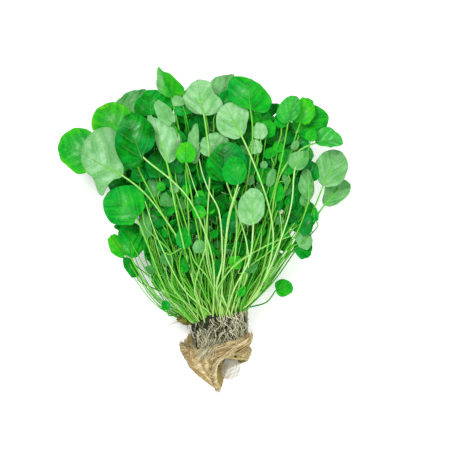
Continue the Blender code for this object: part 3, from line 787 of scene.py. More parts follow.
def makeSprig(number, sprig):
    look = {**sprig.look, "seed": number * 1.37}
    sprig, leaves, threads = sprig._replace(look=look), Leaves(), Threads()
    leaves.add(sprig, bladePlan)
    dress(leaves.make(f"blade_{number:02d}"), "leaf", f"leaf_{number:02d}")
    top = stalkPlan["thinTop"] if sprig.width < 15 else stalkPlan["top"]
    first, last = ribPlan["midThick"]

    def ribThick(rib):  # rib runs 0 to 1 along the midrib
        return ease(top, first, rib * 5) if rib < 0.2 else first + (last - first) * (rib - 0.2) / 0.8

    ribSpots = []
    for step in range(ribPlan["steps"]):
        rib = step / (ribPlan["steps"] - 1)
        along = sprig.length * (0.5 * look["notch"] + ribPlan["reach"] * rib)
        ribSpots.append(bladeSpot(sprig, 0, along, ribRise(look, ribThick(rib))))
    path = stalkRoute(sprig, ribSpots)
    share = (len(path) - len(ribSpots)) / (len(path) - 1)

    def thickness(here):
        if here < share:
            return stalkPlan["foot"] + (top - stalkPlan["foot"]) * here / share
        return ribThick((here - share) / (1 - share))

    def tone(here):
        return look["stem"] if here < share else ease(look["stem"], 0.55, (here - share) / (1 - share) * 4)

    threads.add(path, thickness, lambda here: min(1.0, here / share), tone)
    addRibs(threads, sprig, 0.40 + 0.22 * look["under"])
    dress(threads.sweep(f"stalk_{number:02d}", stalkMaterial, 8), "stem", f"stem_{number:02d}")


sprigs = [*frontSprigs, *(letDown(sprig) for sprig in backSprigs)]
for number, sprig in enumerate(sprigs, start=1):
    makeSprig(number, sprig)
print("big blades and their stalks:", len(sprigs))


# The smaller leaves that can be told apart in the crown. x, y, z are the leaf's middle, and what a row
# leaves out at its end is plain.
Leaflet = namedtuple("Leaflet", "x y z heading length width tone under pitch roll tip rim",
                     defaults=[0, 0, 0, 0, ()])
leafletPlan = {
    "spokes": 36, "rings": 8, "thickness": 0.32, "seed": 21, "loose": (-8, 8), "notch": (0.02, 0.12),
    "wave": 0.045, "stalk": (0.42, 0.55), "stalkTone": (0.15, 0.6), "sag": (9.0, 4.0),
}
leaflets = (
    (-47.2, 82, 41, 36, 24, 14.5, 0.56, 1, 0, 0, 0.08), (-15, 83.3, 57, 110, 8.5, 12, 0.72, 1, 8),
    (-25.3, 74.5, 61, 126, 19, 10, 0.74, 1), (11.5, 89.5, 56, 46, 23, 18, 0.66, 1, 0, 0, 0.1),
    (-4.5, 54, 55, 91, 24, 12, 0.66, 1, 0, 0, 0.15, (1, 0.45, 0.3, 0.4, 1, 1.05, 1.1, 1.1)),
    (-11.5, 49, 61, 92, 14, 13, 0.64), (-30, 41, 50, 100, 17, 16, 0.16), (7, 54, 56, 102, 16, 20, 0.78, 1),
    (2, 37, 48, 90, 16, 14, 0.16), (36, 63, 60, 95, 11, 10, 0.86, 1), (41, 64.5, 56, 80, 12, 11, 0.5),
    (33.4, 53, 58, 100, 10, 8.2, 0.78, 1), (37.5, 72, 54, 80, 12, 13, 0.48), (50, 70, 56, 90, 10, 10, 0.42),
    (64.5, 76, 56, 72, 18, 15, 0.66, 0, 0, -14), (69, 60, 60, 80, 8, 8, 0.58),
    (68.5, 37.5, 43, 100, 16, 12, 0.32), (63.5, 45, 52, 68, 13, 8.5, 0.66, 1),
    (59, 54, 52, 60, 7, 5, 0.62, 1), (48, 53, 52, 80, 8, 7, 0.55), (42.5, 49, 50, 110, 7, 9, 0.5),
    (53, 46.5, 51, 70, 10, 10, 0.5), (54, 39, 50, 100, 9, 11, 0.44), (38.7, 41.5, 53, 80, 5, 5, 0.56, 1),
    (43.5, 33, 52, 75, 13, 6, 0.5, 1), (39.5, 35, 49, 100, 12, 12, 0.46), (53, 31.5, 51, 20, 4, 8, 0.4, 1),
    (47, 24, 50, 84, 13, 10, 0.52), (65.5, 19, 46, 90, 9, 7, 0.5, 1), (29, 32, 52, 60, 7, 8, 0.6, 1),
    (28.5, 41, 52, 85, 13, 9, 0.34), (-42, 35, 46, 95, 10, 11, 0.42), (-32, 27, 45, 100, 14, 12, 0.34, 1),
    (-27.5, 27.5, 49, 70, 6, 6, 0.62), (-19, 26, 54, 90, 6, 6, 0.66, 1), (-12, 24.5, 52, 90, 8, 6, 0.58),
    (-23, 19, 46, 80, 12, 11, 0.4, 1), (-13.5, 17, 46, 100, 9, 8, 0.42, 1), (-2.5, 21, 52, 90, 8, 7, 0.56),
    (-6.5, 15.5, 50, 60, 7, 8, 0.62), (6, 31, 50, 90, 11, 10, 0.28), (-57, 29, 43, 150, 13, 11, 0.24),
    (-25, 11.5, 46, 100, 6, 15, 0.34), (-38, 2, 44, 100, 18, 8, 0.44, 1),
    (-56.2, -11, 31, 128, 17, 12, 0.66), (-48.1, -25, 30, 122, 16, 8, 0.34, 0, 0, 20),
    (-13, -6, 50, 95, 14, 10, 0.4), (-3, -11.5, 47, 90, 9, 9, 0.62, 1), (-3, 11, 55, 95, 9, 9, 0.64),
    (-2, 17.5, 53, 90, 8, 9, 0.3), (4.5, 12.5, 50, 60, 6, 5, 0.68), (20.5, -21.5, 46, 40, 9, 9, 0.68),
    (39.5, 10, 50, 90, 5, 5, 0.62), (47, 17, 47, 80, 11, 9, 0.3), (49, 5.5, 44, 90, 6, 6, 0.52, 1),
    (66.5, 3, 44, 82, 15, 9, 0.3, 0, 0, -16), (72.5, 9.5, 42, 96, 9, 4, 0.5),
    (65, -7, 40, 34, 11, 13, 0.68, 1), (64.5, -12.5, 37, 22, 12, 14, 0.34),
    (-25, -49.8, 32, 110, 6.5, 6, 0.44), (-31, -35, 24, 118, 12, 6, 0.42),
    (-32, -25.5, 28, 104, 11, 6, 0.44), (24.5, -40.5, 38, 60, 8, 5, 0.66),
    # Dark ones deeper in, where the crown would let the table show, their dark tone a painted shade, and some
    # small last ones.
    (-8, 77, 45, 95, 20, 20, 0.24), (2, 68, 44, 80, 20, 20, 0.18), (-30, 62, 47, 110, 18, 18, 0.22),
    (48, 62, 47, 80, 19, 20, 0.2), (57, 54, 45, 60, 18, 18, 0.26), (40, 52, 45, 84, 18, 18, 0.14),
    (20, 50, 48, 95, 18, 20, 0.18), (-18, 34, 46, 100, 18, 18, 0.2), (-44, 24, 42, 130, 18, 18, 0.24),
    (8, 20, 44, 90, 16, 16, 0.14), (36, 22, 44, 80, 16, 17, 0.2), (58, 26, 42, 70, 17, 15, 0.26),
    (-30, 8, 40, 120, 15, 15, 0.22), (-12, 2, 42, 100, 14, 14, 0.16), (18, 4, 42, 85, 14, 14, 0.16),
    (44, 0, 38, 70, 14, 13, 0.24), (-37, 71, 45, 110, 15, 15, 0.24), (-19, 42, 50, 96, 14, 15, 0.18),
    (29, 61, 52, 90, 16, 17, 0.2), (17, 57, 50, 90, 12, 14, 0.16), (62.5, 56, 47, 60, 13, 12, 0.28),
    (-35, 34, 43, 110, 14, 14, 0.2), (-33, -9, 35, 110, 16, 15, 0.22), (-35, -15, 30, 116, 10, 9, 0.3),
    (50, -1, 34, 60, 14, 12, 0.44), (42, -11, 32, 60, 12, 10, 0.42), (61, 36, 40, 90, 12, 10, 0.26),
    (-36, 14, 40, 110, 13, 13, 0.24), (-25, -5, 38, 105, 14, 13, 0.24), (-29, -20, 30, 108, 14, 11, 0.28),
    (7.7, -9.5, 28, 92, 12, 12, 0.32), (-21, 7.5, 30, 100, 13, 12, 0.32), (-7, 11, 32, 95, 12, 12, 0.36),
    (-12.2, -23.4, 41, 85, 10, 7, 0.52), (7.7, -25.4, 36, 92, 12, 7, 0.38), (43, 77, 53, 20, 14, 8, 0.26),
    (-50, 1, 36, 174, 17, 8, 0.26), (12.5, 82, 58, 60, 17, 10, 0.44), (37, -1, 46, 80, 8, 6, 0.6),
    (53, -9, 29, 55, 12, 9, 0.46), (-13.3, 77.3, 55, 100, 9, 12, 0.42),
)


def makeLeaflets():
    leaves, threads, plan = Leaves(), Threads(), leafletPlan
    dice = random.Random(plan["seed"])
    uniform = dice.uniform
    for number, row in enumerate(Leaflet(*row) for row in leaflets):
        sprig = leaf((0, 0, 0), row.heading, row.pitch + uniform(*plan["loose"]),
                     row.roll + uniform(*plan["loose"]), row.length, row.width,
                     dice.choice((-1, 1)) * row.width * 0.06, uniform(0, 0.8),
                     sheen=((uniform(-0.4, 0.4), uniform(0.3, 0.7), 0.3, uniform(0.0, 0.45)),),
                     notch=uniform(*plan["notch"]), wave=plan["wave"], tone=row.tone, under=row.under,
                     tip=row.tip, seed=number * 2.1, rim=row.rim)
        turn = bladeTurn(sprig)
        base = Vector((row.x, row.y, row.z)) - turn @ Vector((0, row.length / 2, 0))
        leaves.add(sprig._replace(base=base), plan)
        back = turn @ Vector((0, -1, 0))
        inside = base - back * (sprig.look["notch"] + 0.08) * row.length * 0.5
        home = plugSpot(uniform(-15, 15), uniform(-6, 9), -2)
        aside = plugAcross * (base.x - home.x)
        first, second = plan["sag"]
        route = [inside + turn @ climb(-0.45), base + back * 4 - turn @ climb(0.6),
                 base.lerp(home, 0.33) + aside * 0.06 + climb(-first),
                 base.lerp(home, 0.66) + aside * 0.10 + climb(-second), home]
        path = evenPath(smoothPath(route, 50), 22)
        threads.add(path, taper(*plan["stalk"]), lambda share: 1 - share, uniform(*plan["stalkTone"]))
    dress(leaves.make("leaflets"), "small_leaves", "small_leaves")
    dress(threads.sweep("leafletStalks", stalkMaterial), "thin_stems", "thin_stems")


makeLeaflets()
print("leaflets in the crown:", len(leaflets))


# The heaped small leaves of the crown's heart and the dark ones between the stalks, scattered over
# lumpy masses by a growth tree. The inner masses' low tones are painted shade deep in the crown.
heaps = (  # middle, half size, spacing in m, seed, tone, smallest and largest
    ((2.5, 41.6, 32.5), (62.0, 43.0, 16.4), 0.0102, 11, 0.40, (0.55, 1.10)),
    ((5.0, 41.0, 31.5), (48.0, 33.0, 11.5), 0.0105, 12, 0.20, (0.60, 1.10)),
    ((5.0, 38.0, 30.0), (33.0, 24.0, 7.0), 0.0110, 13, 0.08, (0.70, 1.15)),
    ((5.0, -8.0, 23.0), (39.0, 27.0, 9.0), 0.0098, 14, 0.47, (0.45, 0.90)),
    ((4.0, -12.0, 20.0), (26.0, 20.0, 3.5), 0.0100, 15, 0.36, (0.50, 0.90)),
    ((8.0, 3.0, 32.0), (41.0, 30.0, 9.5), 0.0112, 16, 0.45, (0.40, 0.85)),
)
smallLeaf = {
    "length": 14.0, "width": 13.0, "spokes": 13, "rings": 2, "thickness": 0.34, "tilt": 0.6, "spread": 0.22,
    "kinds": ((1.5, 0.6, 0.05, 0), (-1.2, 1.6, 0.02, 0), (0.8, 0.2, 0.12, 0), (-0.6, 0.9, 0.03, 1),
              (1.8, 0.4, 0.0, 0)),  # cup, fold, tip, under
    "stub": ((0, 0.6, 0), (0, -4, -0.6), (0.6, -9, -4.5)),  # the start of its stalk
}


def heapMass(middle, half):
    def bend(point):
        x, y, z = way = point.normalized()
        broad = math.sin(9 * x + 2) * math.cos(8 * y + 1)
        narrow = math.sin(13 * y + 7 * z) * math.cos(15 * x - 1)
        return Vector(middle) + Vector(half) * way * (1 + 0.045 * broad + 0.03 * narrow)

    return bentMesh("heapMass", newBall(4), bend)


def makeSmallLeafKinds():  # a few different small leaves, each with a stub of its stalk
    kinds, sides = bpy.data.collections.new("smallLeafKinds"), 4
    bpy.context.scene.collection.children.link(kinds)
    for number, (cup, fold, tip, under) in enumerate(smallLeaf["kinds"]):
        sprig = leaf((0, 0, 0), 90, 0, 0, smallLeaf["length"], smallLeaf["width"], cup, fold, tip=tip,
                     under=under, seed=3.3 * number, notch=0.08, tone=0.0)
        points, faces, values = bladeShell(sprig, smallLeaf)
        first, blade = len(points), values["blade"]
        for step, spot in enumerate(smoothPath(smallLeaf["stub"], 2)):
            for side in range(sides):
                turn = math.tau * side / sides
                points.append(spot + Vector((math.cos(turn), 0, math.sin(turn))) * (0.42 - 0.04 * step))
                blade.append((0.0, 0.3, 1.0))
        last = len(points) - sides
        for a in range(first, last, sides):
            for side in range(sides):
                after, b = (side + 1) % sides, a + sides
                faces.append((a + side, b + side, b + after, a + after))
        faces += [tuple(range(first, first + sides)), tuple(reversed(range(last, last + sides)))]
        mesh = makeMesh(f"smallLeafKind{number}", [point * mm for point in points], (), faces, blade=blade)
        mesh.shade_smooth()
        kinds.objects.link(bpy.data.objects.new(mesh.name, mesh))
    return kinds


def makeHeapGrowth():  # scatters leaf kinds over a surface, facing out and pointing away from the roots
    graph, start = newGrowth("heapLeaves", {
        "Kinds": "Collection", "Spacing": "Float", "Seed": "Int", "Smallest": "Float", "Largest": "Float",
        "Tilt": "Float", "Tone": "Float", "Tone Spread": "Float", "Skin": "Material"})
    seed, tone, spread = (start.pick(name) for name in ("Seed", "Tone", "Tone Spread"))
    points = graph.add("GeometryNodeDistributePointsOnFaces", {"distribute_method": "POISSON"}, {
        "Mesh": start, "Distance Min": start.pick("Spacing"), "Density Max": 40000.0, "Seed": seed})
    spin = graph.add("FunctionNodeAlignRotationToVector", {"axis": "Z"}, {"Vector": points.pick("Normal")})
    away = graph.add("ShaderNodeVectorMath", {"operation": "SUBTRACT"},
                     {0: graph.add("GeometryNodeInputPosition"), 1: (0.012, -0.075, 0.015)})
    spin = graph.add("FunctionNodeAlignRotationToVector", {"axis": "Y", "pivot_axis": "Z"},
                     {"Rotation": spin, "Vector": away})
    jitter = graph.add("FunctionNodeRandomValue", {"data_type": "FLOAT_VECTOR"},
                       {0: (-1.0, -1.0, -1.6), 1: (1.0, 1.0, 1.6), "Seed": seed})
    jitter = graph.add("ShaderNodeVectorMath", {"operation": "SCALE"},
                       {0: jitter, "Scale": start.pick("Tilt")})
    jitter = graph.add("FunctionNodeEulerToRotation", {}, {0: jitter})
    spin = graph.add("FunctionNodeRotateRotation", {"rotation_space": "LOCAL"},
                     {"Rotation": spin, "Rotate By": jitter})
    kinds = graph.add("GeometryNodeCollectionInfo", {}, {
        "Collection": start.pick("Kinds"), "Separate Children": True, "Reset Children": True})
    scale = graph.random(start.pick("Smallest"), start.pick("Largest"), seed + 3)
    heap = graph.add("GeometryNodeInstanceOnPoints", {}, {
        "Points": points, "Instance": kinds, "Pick Instance": True, "Rotation": spin, "Scale": scale})
    heap = graph.add("GeometryNodeStoreNamedAttribute", {"data_type": "FLOAT", "domain": "INSTANCE"}, {
        "Geometry": heap, "Name": "tone", "Value": graph.random(tone - spread, tone + spread, seed + 5)})
    return endGrowth(graph, heap, start.pick("Skin"))


def makeHeap():
    kinds, tree = makeSmallLeafKinds(), makeHeapGrowth()
    for number, (middle, half, spacing, seed, tone, (smallest, largest)) in enumerate(heaps, start=1):
        heap = grow(f"heapedLeaves_{number}", newObject("heapMass", heapMass(middle, half)), tree, {
            "Kinds": kinds, "Spacing": spacing, "Seed": seed, "Smallest": smallest, "Largest": largest,
            "Tilt": smallLeaf["tilt"], "Tone": tone, "Tone Spread": smallLeaf["spread"],
            "Skin": leafMaterial})
        dress(heap, "small_leaves", "small_leaves")
        count = sum(len(face.vertices) - 2 for face in heap.data.polygons)
        print("heaped leaves", number, "triangles:", count)
    for obj in list(kinds.objects):
        bpy.data.objects.remove(obj)
    bpy.data.collections.remove(kinds)


makeHeap()


# The thin stalks of the fan. Each starts on the plug and ends among the heaped leaves.
fan = {
    "count": 250, "seed": 5, "footHalf": (16.5, 12.5), "headX": 58.0, "headZ": (12.0, 45.0),
    "headY": (-24.0, 48.0), "thick": (0.26, 0.56), "sway": 3.8, "sideDrop": 14.0,
    "tone": (-0.06, 0.50), "toneSpread": (-0.34, 0.48),  # at the back, how much more in front, by chance; darker towards the back, a painted shade
}
fanLeaf = {
    "spokes": 14, "rings": 3, "thickness": 0.3, "size": (5.0, 10.5), "tone": (0.10, 0.46), "under": 0.25,
    "turn": 22, "tilt": 20,  # degrees, by chance
}
frontStalks = (  # the ones that stand out in front: foot, points on the way, how thick and how pale
    ((2, 13.8), ((8, -38, 43), (11.6, -23, 47), (11.8, -10, 51), (11, 3, 54), (9, 14, 56), (3.5, 24, 56),
                 (-1, 36, 56), (-3, 45, 55)), 0.72, 0.95),
    ((7, 14), ((11.5, -40, 40), (14, -12, 51), (17, 10, 57), (23, 27, 62)), 0.72, 0.90),
    ((4, 12), ((7.8, -42, 44), (15, -29, 48), (24.7, -20, 50), (41.6, -10, 49), (58, -4, 44)), 0.62, 0.75),
    ((6, 11), ((9.8, -42, 42), (12.4, -34, 45), (18, -25, 47), (27, -17.6, 48), (43, -9.8, 46), (62, 3, 42)),
     0.58, 0.62),
    ((12, 10), ((22.7, -49, 32), (27.6, -27, 42), (44.6, -13, 46), (59, 4, 44)), 0.60, 0.66),
    ((16, 4), ((34.7, -46, 24), (42.6, -31, 30), (50.5, -20, 36), (57.5, -10, 38)), 0.55, 0.55),
    ((-9, 12), ((-6, -41, 42), (-3, -25, 48), (1, -12, 49), (2, 2, 50)), 0.60, 0.75),
    ((3, 13.5), ((3.5, -33, 45), (-5.8, -21.5, 48), (-11, -11.5, 49.5), (-22, -16.5, 46), (-27, -14, 44)),
     0.58, 0.66),
    ((12, 12), ((28, -30, 40), (28.5, -15, 50), (25, 1.5, 52), (20, 16, 54)), 0.66, 0.95),
    ((10, 10), ((30, -28, 36), (36, -13, 46), (37.5, 0, 48)), 0.60, 0.75),
    ((-12, 11), ((-20, -38, 38), (-21.5, -16, 46), (-37, 0, 46), (-40, 12, 48)), 0.60, 0.62),
    ((-5, 12), ((-14, -38, 42), (-30, -6, 47), (-38, 18, 50)), 0.66, 0.80),
    ((-15, 8), ((-27, -42, 30), (-37, -28, 34), (-48, -8, 38)), 0.58, 0.50),
    ((13, 8), ((42, -28, 32), (50, -5, 43), (48, 20, 47)), 0.62, 0.80),
    ((15.5, 6), ((45, -26, 30), (60, -4, 40), (68, 6, 42)), 0.58, 0.50),
    ((1, 12), ((2, -20, 47), (0, 8, 52), (-7, 30, 54), (-11, 43, 59)), 0.58, 0.80),
    ((-3, 11), ((-8, -22, 46), (-10, 10, 53), (-12, 38, 58)), 0.54, 0.66),
    ((6, 12), ((20, -20, 46), (21, 0, 52), (20, 26, 58)), 0.58, 0.80),
    ((9, 11), ((19, -36, 42), (17, -22, 46), (21, -8, 50), (27, 6, 53)), 0.52, 0.60),
    ((-7, 11), ((-13, -36, 40), (-16, -22, 44), (-13, -4, 48), (-17, 12, 50)), 0.55, 0.55),
)
fanEdges = (  # the outermost ones: a middle way, how many follow it side by side, how pale
    (((-8.5, -60.5, 13), (-17, -57, 14), (-27, -50, 18), (-36, -39, 23), (-45, -22, 30), (-49, -5, 36)),
     14, 0.45),
    (((-8, -59, 20), (-14, -54, 24), (-22, -44, 30), (-31, -28, 36), (-36, -8, 42), (-38, 14, 44)), 12, 0.55),
    (((27, -52.5, 13), (31.8, -47, 16), (37.6, -37, 21), (46.6, -19.5, 29), (58, -1, 35)), 12, 0.52),
    (((24, -52, 20), (30, -42, 27), (38, -25, 34), (46, -4, 41), (52, 18, 45)), 10, 0.55),
)


def addTipLeaf(leaves, path, dice):  # the small leaf that a thin stalk ends in
    size, end, way = dice.uniform(*fanLeaf["size"]), path[-1], path[-1] - path[-3]
    if (end.x < -34 and end.y < 8) or (end.x > 36 and end.y < -22):
        return  # the big glossy leaf at the left and the gap above the lone one at the right stay clear
    leaves.add(leaf(
        end - way.normalized() * 0.3, math.degrees(math.atan2(way.y, way.x)) + dice.gauss(0, fanLeaf["turn"]),
        dice.gauss(0, fanLeaf["tilt"]), dice.gauss(0, fanLeaf["tilt"]), size, size * dice.uniform(0.75, 1.1),
        dice.uniform(-0.8, 0.8), dice.uniform(0, 0.6), tone=dice.uniform(*fanLeaf["tone"]),
        under=dice.random() < fanLeaf["under"], seed=dice.uniform(0, 9), notch=dice.uniform(0.0, 0.1),
        ripple=0.4, wave=0.05), fanLeaf)


def fanPath(fx, fz, dice):  # from a foot at fx, fz (-1 to 1 over the plug's top) to a head in the crown
    acrossHalf, upHalf = fan["footHalf"]
    foot, front = plugSpot(fx * acrossHalf, fz * upHalf, -2), fz * 0.5 + 0.5
    outer = max(-1, min(1, fx + dice.uniform(-0.4, 0.4)))
    headY = dice.uniform(*fan["headY"]) - fan["sideDrop"] * abs(outer) ** 2
    headX = 5 + outer * fan["headX"] * (0.62 + 0.38 * (headY + 30) / 80)  # closer together near the plug
    low, high = fan["headZ"]
    head = Vector((headX, headY, low + (high - low) * clamp(front + dice.uniform(-0.2, 0.2))))
    rise = 9 + 7 * dice.random()
    first = foot + plugUp * rise + plugAcross * fx * rise * 0.55 + climb(fz * rise * 0.35)
    sway = Vector(dice.uniform(-1, 1) * fan["sway"] for _ in range(3))
    middle = first.lerp(head, 0.5) + plugAcross * outer * 6 + climb(2.5) + sway
    late = first.lerp(head, 0.8) + plugAcross * outer * 2.5 - sway * 0.6
    return smoothPath([foot, first, middle, late, head], 18)


def makeFan():
    threads, leaves, dice = Threads(), Leaves(), random.Random(fan["seed"])
    for (across, up), way, thick, tone in frontStalks:
        path = smoothPath([plugSpot(across, up, -2), plugSpot(across, up, 3), *way], 26)
        threads.add(path, taper(thick * 0.92, thick * 0.5, 1.5), same, tone)
    for way, count, tone in fanEdges:
        for _ in range(count):
            aside, spots = Vector(dice.gauss(0, 1) for _ in range(3)), []
            for step, point in enumerate(way):  # further apart with each step from the plug
                drift = Vector(dice.gauss(0, 0.5) for _ in range(3))
                spots.append(Vector(point) + aside * (0.8 + 0.55 * step) + drift)
            last = dice.randint(4, len(spots))
            start = spots[0] - (spots[1] - spots[0]).normalized() * 3  # inside the plug
            start.z = min(max(start.z, 8), 30)
            thick = dice.uniform(*fan["thick"])
            path = smoothPath([start, *spots[:last]], 18)
            threads.add(path, taper(thick, thick * 0.5), same, tone + dice.uniform(-0.3, 0.25))
            if path[-1].y > 0:
                addTipLeaf(leaves, path, dice)
    for _ in range(fan["count"]):
        fx, fz = dice.uniform(-1, 1), dice.uniform(-1, 1)
        path, thick = fanPath(fx, fz, dice), dice.uniform(*fan["thick"])
        # Stalks with their feet further back are darker: painted shade by depth.
        dark, lighter = fan["tone"]
        tone = dark + lighter * (fz * 0.5 + 0.5) + dice.uniform(*fan["toneSpread"])
        threads.add(path, taper(thick, thick * 0.5), lambda share: share * 0.9, tone)
        addTipLeaf(leaves, path, dice)
    dress(threads.sweep("thinStalks", stalkMaterial), "thin_stems", "thin_stems")
    dress(leaves.make("fanLeaves"), "small_leaves", "small_leaves")
    print("thin stalks:", fan["count"] + len(frontStalks))


makeFan()


# The root plug: crumbly growing medium in a rounded block.
def plugPoint(share, down, lift=0.0):
    # share runs round the block: 0 to 1 over the side that faces up, then on round the left, the
    # underside and the right to 4; down runs 0 at the stalks to 1
    narrow = 1 - (1 - plug["taper"]) * down
    side, along = int(share % 4), share % 1
    halfX, halfZ = plug["width"] / 2 * narrow, plug["depth"] / 2 * narrow
    x, z = ((halfX * (1 - 2 * along), halfZ), (-halfX, halfZ * (1 - 2 * along)),
            (halfX * (2 * along - 1), -halfZ), (halfX, halfZ * (2 * along - 1)))[side]
    edge = abs(2 * along - 1) ** 6 * plug["rounding"] * 0.42  # keeps off the block's sharp corner
    x, z = x - math.copysign(edge, x), z - math.copysign(edge, z)
    outX, outZ = ((0, 1), (-1, 0), (0, -1), (1, 0))[side]
    return (plug["top"] + plugAcross * (x + outX * lift + plug["shift"] + plug["lean"] * down)
            + climb(z + outZ * lift) - plugUp * plug["length"] * down)


def makePlug():
    block, half = bmesh.new(), Vector((plug["width"], plug["length"], plug["depth"])) / 2
    bmesh.ops.create_cube(block, size=2.0)
    bmesh.ops.subdivide_edges(block, edges=block.edges, cuts=34, use_grid_fill=True)

    def bend(point):
        full, curve = Vector(a * b for a, b in zip(point, half)), plug["rounding"]
        core = Vector(max(-h + curve, min(h - curve, c)) for c, h in zip(full, half))
        own = core + (full - core).normalized() * (curve - 0.5)
        share = 0.5 - own.y / plug["length"]
        narrow = 1 - (1 - plug["taper"]) * share
        coarse, fine = (grain(*(size * part for part in own)) for size in (0.5, 1.6))
        own = own + (own - core).normalized() * (0.9 * coarse + 0.5 * fine)
        high, middle, spread = plug["hump"]
        own.y += high * bell(own.x - middle, spread) * max(0.0, 1 - share) ** 4
        own = Vector((own.x * narrow + plug["shift"] + plug["lean"] * share, own.y, own.z * narrow))
        return plug["top"] + plugAcross * own.x + plugUp * (own.y - plug["length"] / 2) + climb(own.z)

    mesh = bentMesh("plugBlock", block, bend)
    mesh.shade_smooth()
    dress(newObject("plugBlock", mesh, earthMaterial), "root_plug", "root_plug")


rootNet = {
    "count": 375, "seed": 9, "thick": (0.11, 0.33), "steps": 13, "inFront": 0.70,
    "bare": 0.19,  # the band below the stalks that has few roots
    "start": (0.0, 0.75), "length": (0.16, 0.42), "lift": (-0.1, 1.1), "slant": (0.04, 0.22),
    "swing": (0.003, 0.028),
    # The ones that run on over the mat: they stand off it and drift left.
    "spill": {"count": 46, "share": (0.48, 0.97), "start": (0.25, 0.85), "end": (0.90, 1.18),
              "slant": (0.26, 0.26), "swing": (0.003, 0.016), "lift": 6.4, "drift": 3.4},
    # Whitish ones straight from the stalks' feet.
    "feet": {"count": 34, "length": (0.12, 0.36), "thick": (0.16, 0.36), "tone": (0.3, 1.0)},
}


def makeRootNet():  # fine roots that run down over the block and spill onto the mat
    threads, dice = Threads(), random.Random(rootNet["seed"])
    spill, feet = rootNet["spill"], rootNet["feet"]
    for number in range(rootNet["count"]):
        spilled = number < spill["count"]
        share = dice.random() if dice.random() < rootNet["inFront"] else dice.uniform(1, 4)
        if spilled:
            share = dice.uniform(*spill["share"])
        rightward = 1 - share if share < 1 else 0.5
        start = dice.uniform(*rootNet["start"])
        if share < 1 and dice.random() < 0.9:  # the bare band is widest on the left
            start = max(start, rootNet["bare"] * (1.25 - 1.8 * rightward) + dice.uniform(0, 0.14))
        length = dice.uniform(*rootNet["length"]) * (0.8 + 0.5 * rightward)
        if spilled:
            start = dice.uniform(*spill["start"])
            length = dice.uniform(*spill["end"]) - start
        lift, plan = dice.uniform(*rootNet["lift"]), spill if spilled else rootNet
        slant, phase, swing = dice.gauss(*plan["slant"]), dice.uniform(0, 9), dice.uniform(*plan["swing"])
        path = []
        for step in range(rootNet["steps"]):
            part = step / (rootNet["steps"] - 1)
            here = share + slant * part * length + swing * math.sin(phase + 8 * part)
            here += 0.03 * grain(phase, part * 4)
            deep = start + length * part
            rise = lift + 0.8 * math.sin(math.pi * part) * dice.random() + 3.0 * max(0, deep - 0.75)
            if spilled:
                rise += spill["lift"] * ease(0, 1, (deep - 0.68) / 0.2)
                drift = plugAcross * spill["drift"] * ease(0, 1, (deep - 0.70) / 0.4)
                path.append(plugPoint(min(here, 0.99), deep, rise) - drift)
            else:
                path.append(plugPoint(here, min(deep, 1.02), rise))
        thick = dice.uniform(*rootNet["thick"]) * (0.75 if spilled else 1)
        tone = dice.gauss(0.42, 0.38) + 0.25 * (rightward - 0.5) + 0.30 * start + 0.35 * spilled
        threads.add(path, taper(thick, thick * 0.45), same, clamp(tone))
    for _ in range(feet["count"]):
        share = dice.random() ** 1.7 * 0.95  # most on the right
        lean, length = dice.gauss(0, 0.05), dice.uniform(*feet["length"])
        path = [plugPoint(share + lean * part**2 * 2, 0.01 + length * part,
                          0.1 + 1.1 * math.sin(math.pi * part)) for part in (k / 7 for k in range(8))]
        threads.add(path, taper(dice.uniform(*feet["thick"]), 0.10), same, dice.uniform(*feet["tone"]))
    dress(threads.sweep("rootNet", rootMaterial, 5), "root_plug")
    print("fine roots:", rootNet["count"] + feet["count"])


makePlug()
makeRootNet()


# The fibre mat: a torn sheet wrapped round the plug like a paper cone, open at the front right.
mat = {
    "thickness": 2.4, "top": (8.6, -73.9), "tip": (10.0, -105.5), "topHalf": (20.8, 17.6), "tipHalf": 0.9,
    "sink": 1.0, "closes": (342.0, 290.0), "flap": 4.6, "dip": 2.6,
    "rows": 84, "round": 150, "wall": 1.1,
    # (row, degrees) of the front edge: it runs along the right side, then cuts across and down
    "opens": ((0.0, 4.0), (0.06, 9.0), (0.15, 50.0), (0.30, 61.0), (0.40, 70.0), (0.50, 81.0), (0.60, 87.0),
              (0.72, 91.0), (1.0, 94.0)),
    "shoulder": 0.5,  # how far the front edge rises at the right
    "fold": 132.0,  # degrees of the long fold down the left
    "back": (228.0, 16.0, 7.5),  # the back wall stands up beside the plug: degrees, spread, height
    "lap": (112.0, 0.35, 0.16),  # the back's end laps in under the front: degrees, row, spread
    "waist": (0.21, 0.08, 2.6),  # the right side is drawn in below the top edge: row, spread, depth
    "paintedHoles": ((0.52, 0.10), (0.34, 0.955)),  # (row, turn) of the small holes, not cut but painted as dark spots, a painted shade
    # Layers of noise: how much, how often round the mat and, for the swell, down it, and its own shift.
    "rag": ((0.05, 9, 3.1), (0.045, 31, 7.7), (0.03, 90, 1.7)),  # the torn top
    "swell": ((1.0, 8, 4, 1.3), (0.34, 21, 13, 5.2), (0.22, 60, 40, 2.2)),
    "lapped": (345.0, 85.0, 2.2, 2.0),  # where the lap leaves the sheet: degrees, spread, out, then in
    "ridge": (2.0, 5.5),  # the long fold's height and spread in degrees
    "roll": (0.06, 0.11, 1.6, 1.3),  # front edge: from turn, seen from turn, radius, half turns
    "core": 12.0,  # the height of the line that the sheet goes round
}


def squashed(value, power):  # the power of a signed value
    return math.copysign(abs(value) ** power, value)


def between(pairs, value):  # straight from one (value, result) pair to the next
    for (start, first), (end, last) in zip(pairs, pairs[1:]):
        if value <= end:
            return first + (last - first) * max(0.0, value - start) / (end - start)
    return pairs[-1][1]


def matDegrees(row, turn):  # how far round the plug: 0 right, 90 on top, 180 left, 270 on the table
    lapDegrees, lapRow, lapSpread = mat["lap"]
    opens = between(mat["opens"], row)
    closes = ease(*mat["closes"], row * 2 - 0.3) + lapDegrees * bell(row - lapRow, lapSpread)
    return opens + (closes - opens) * turn


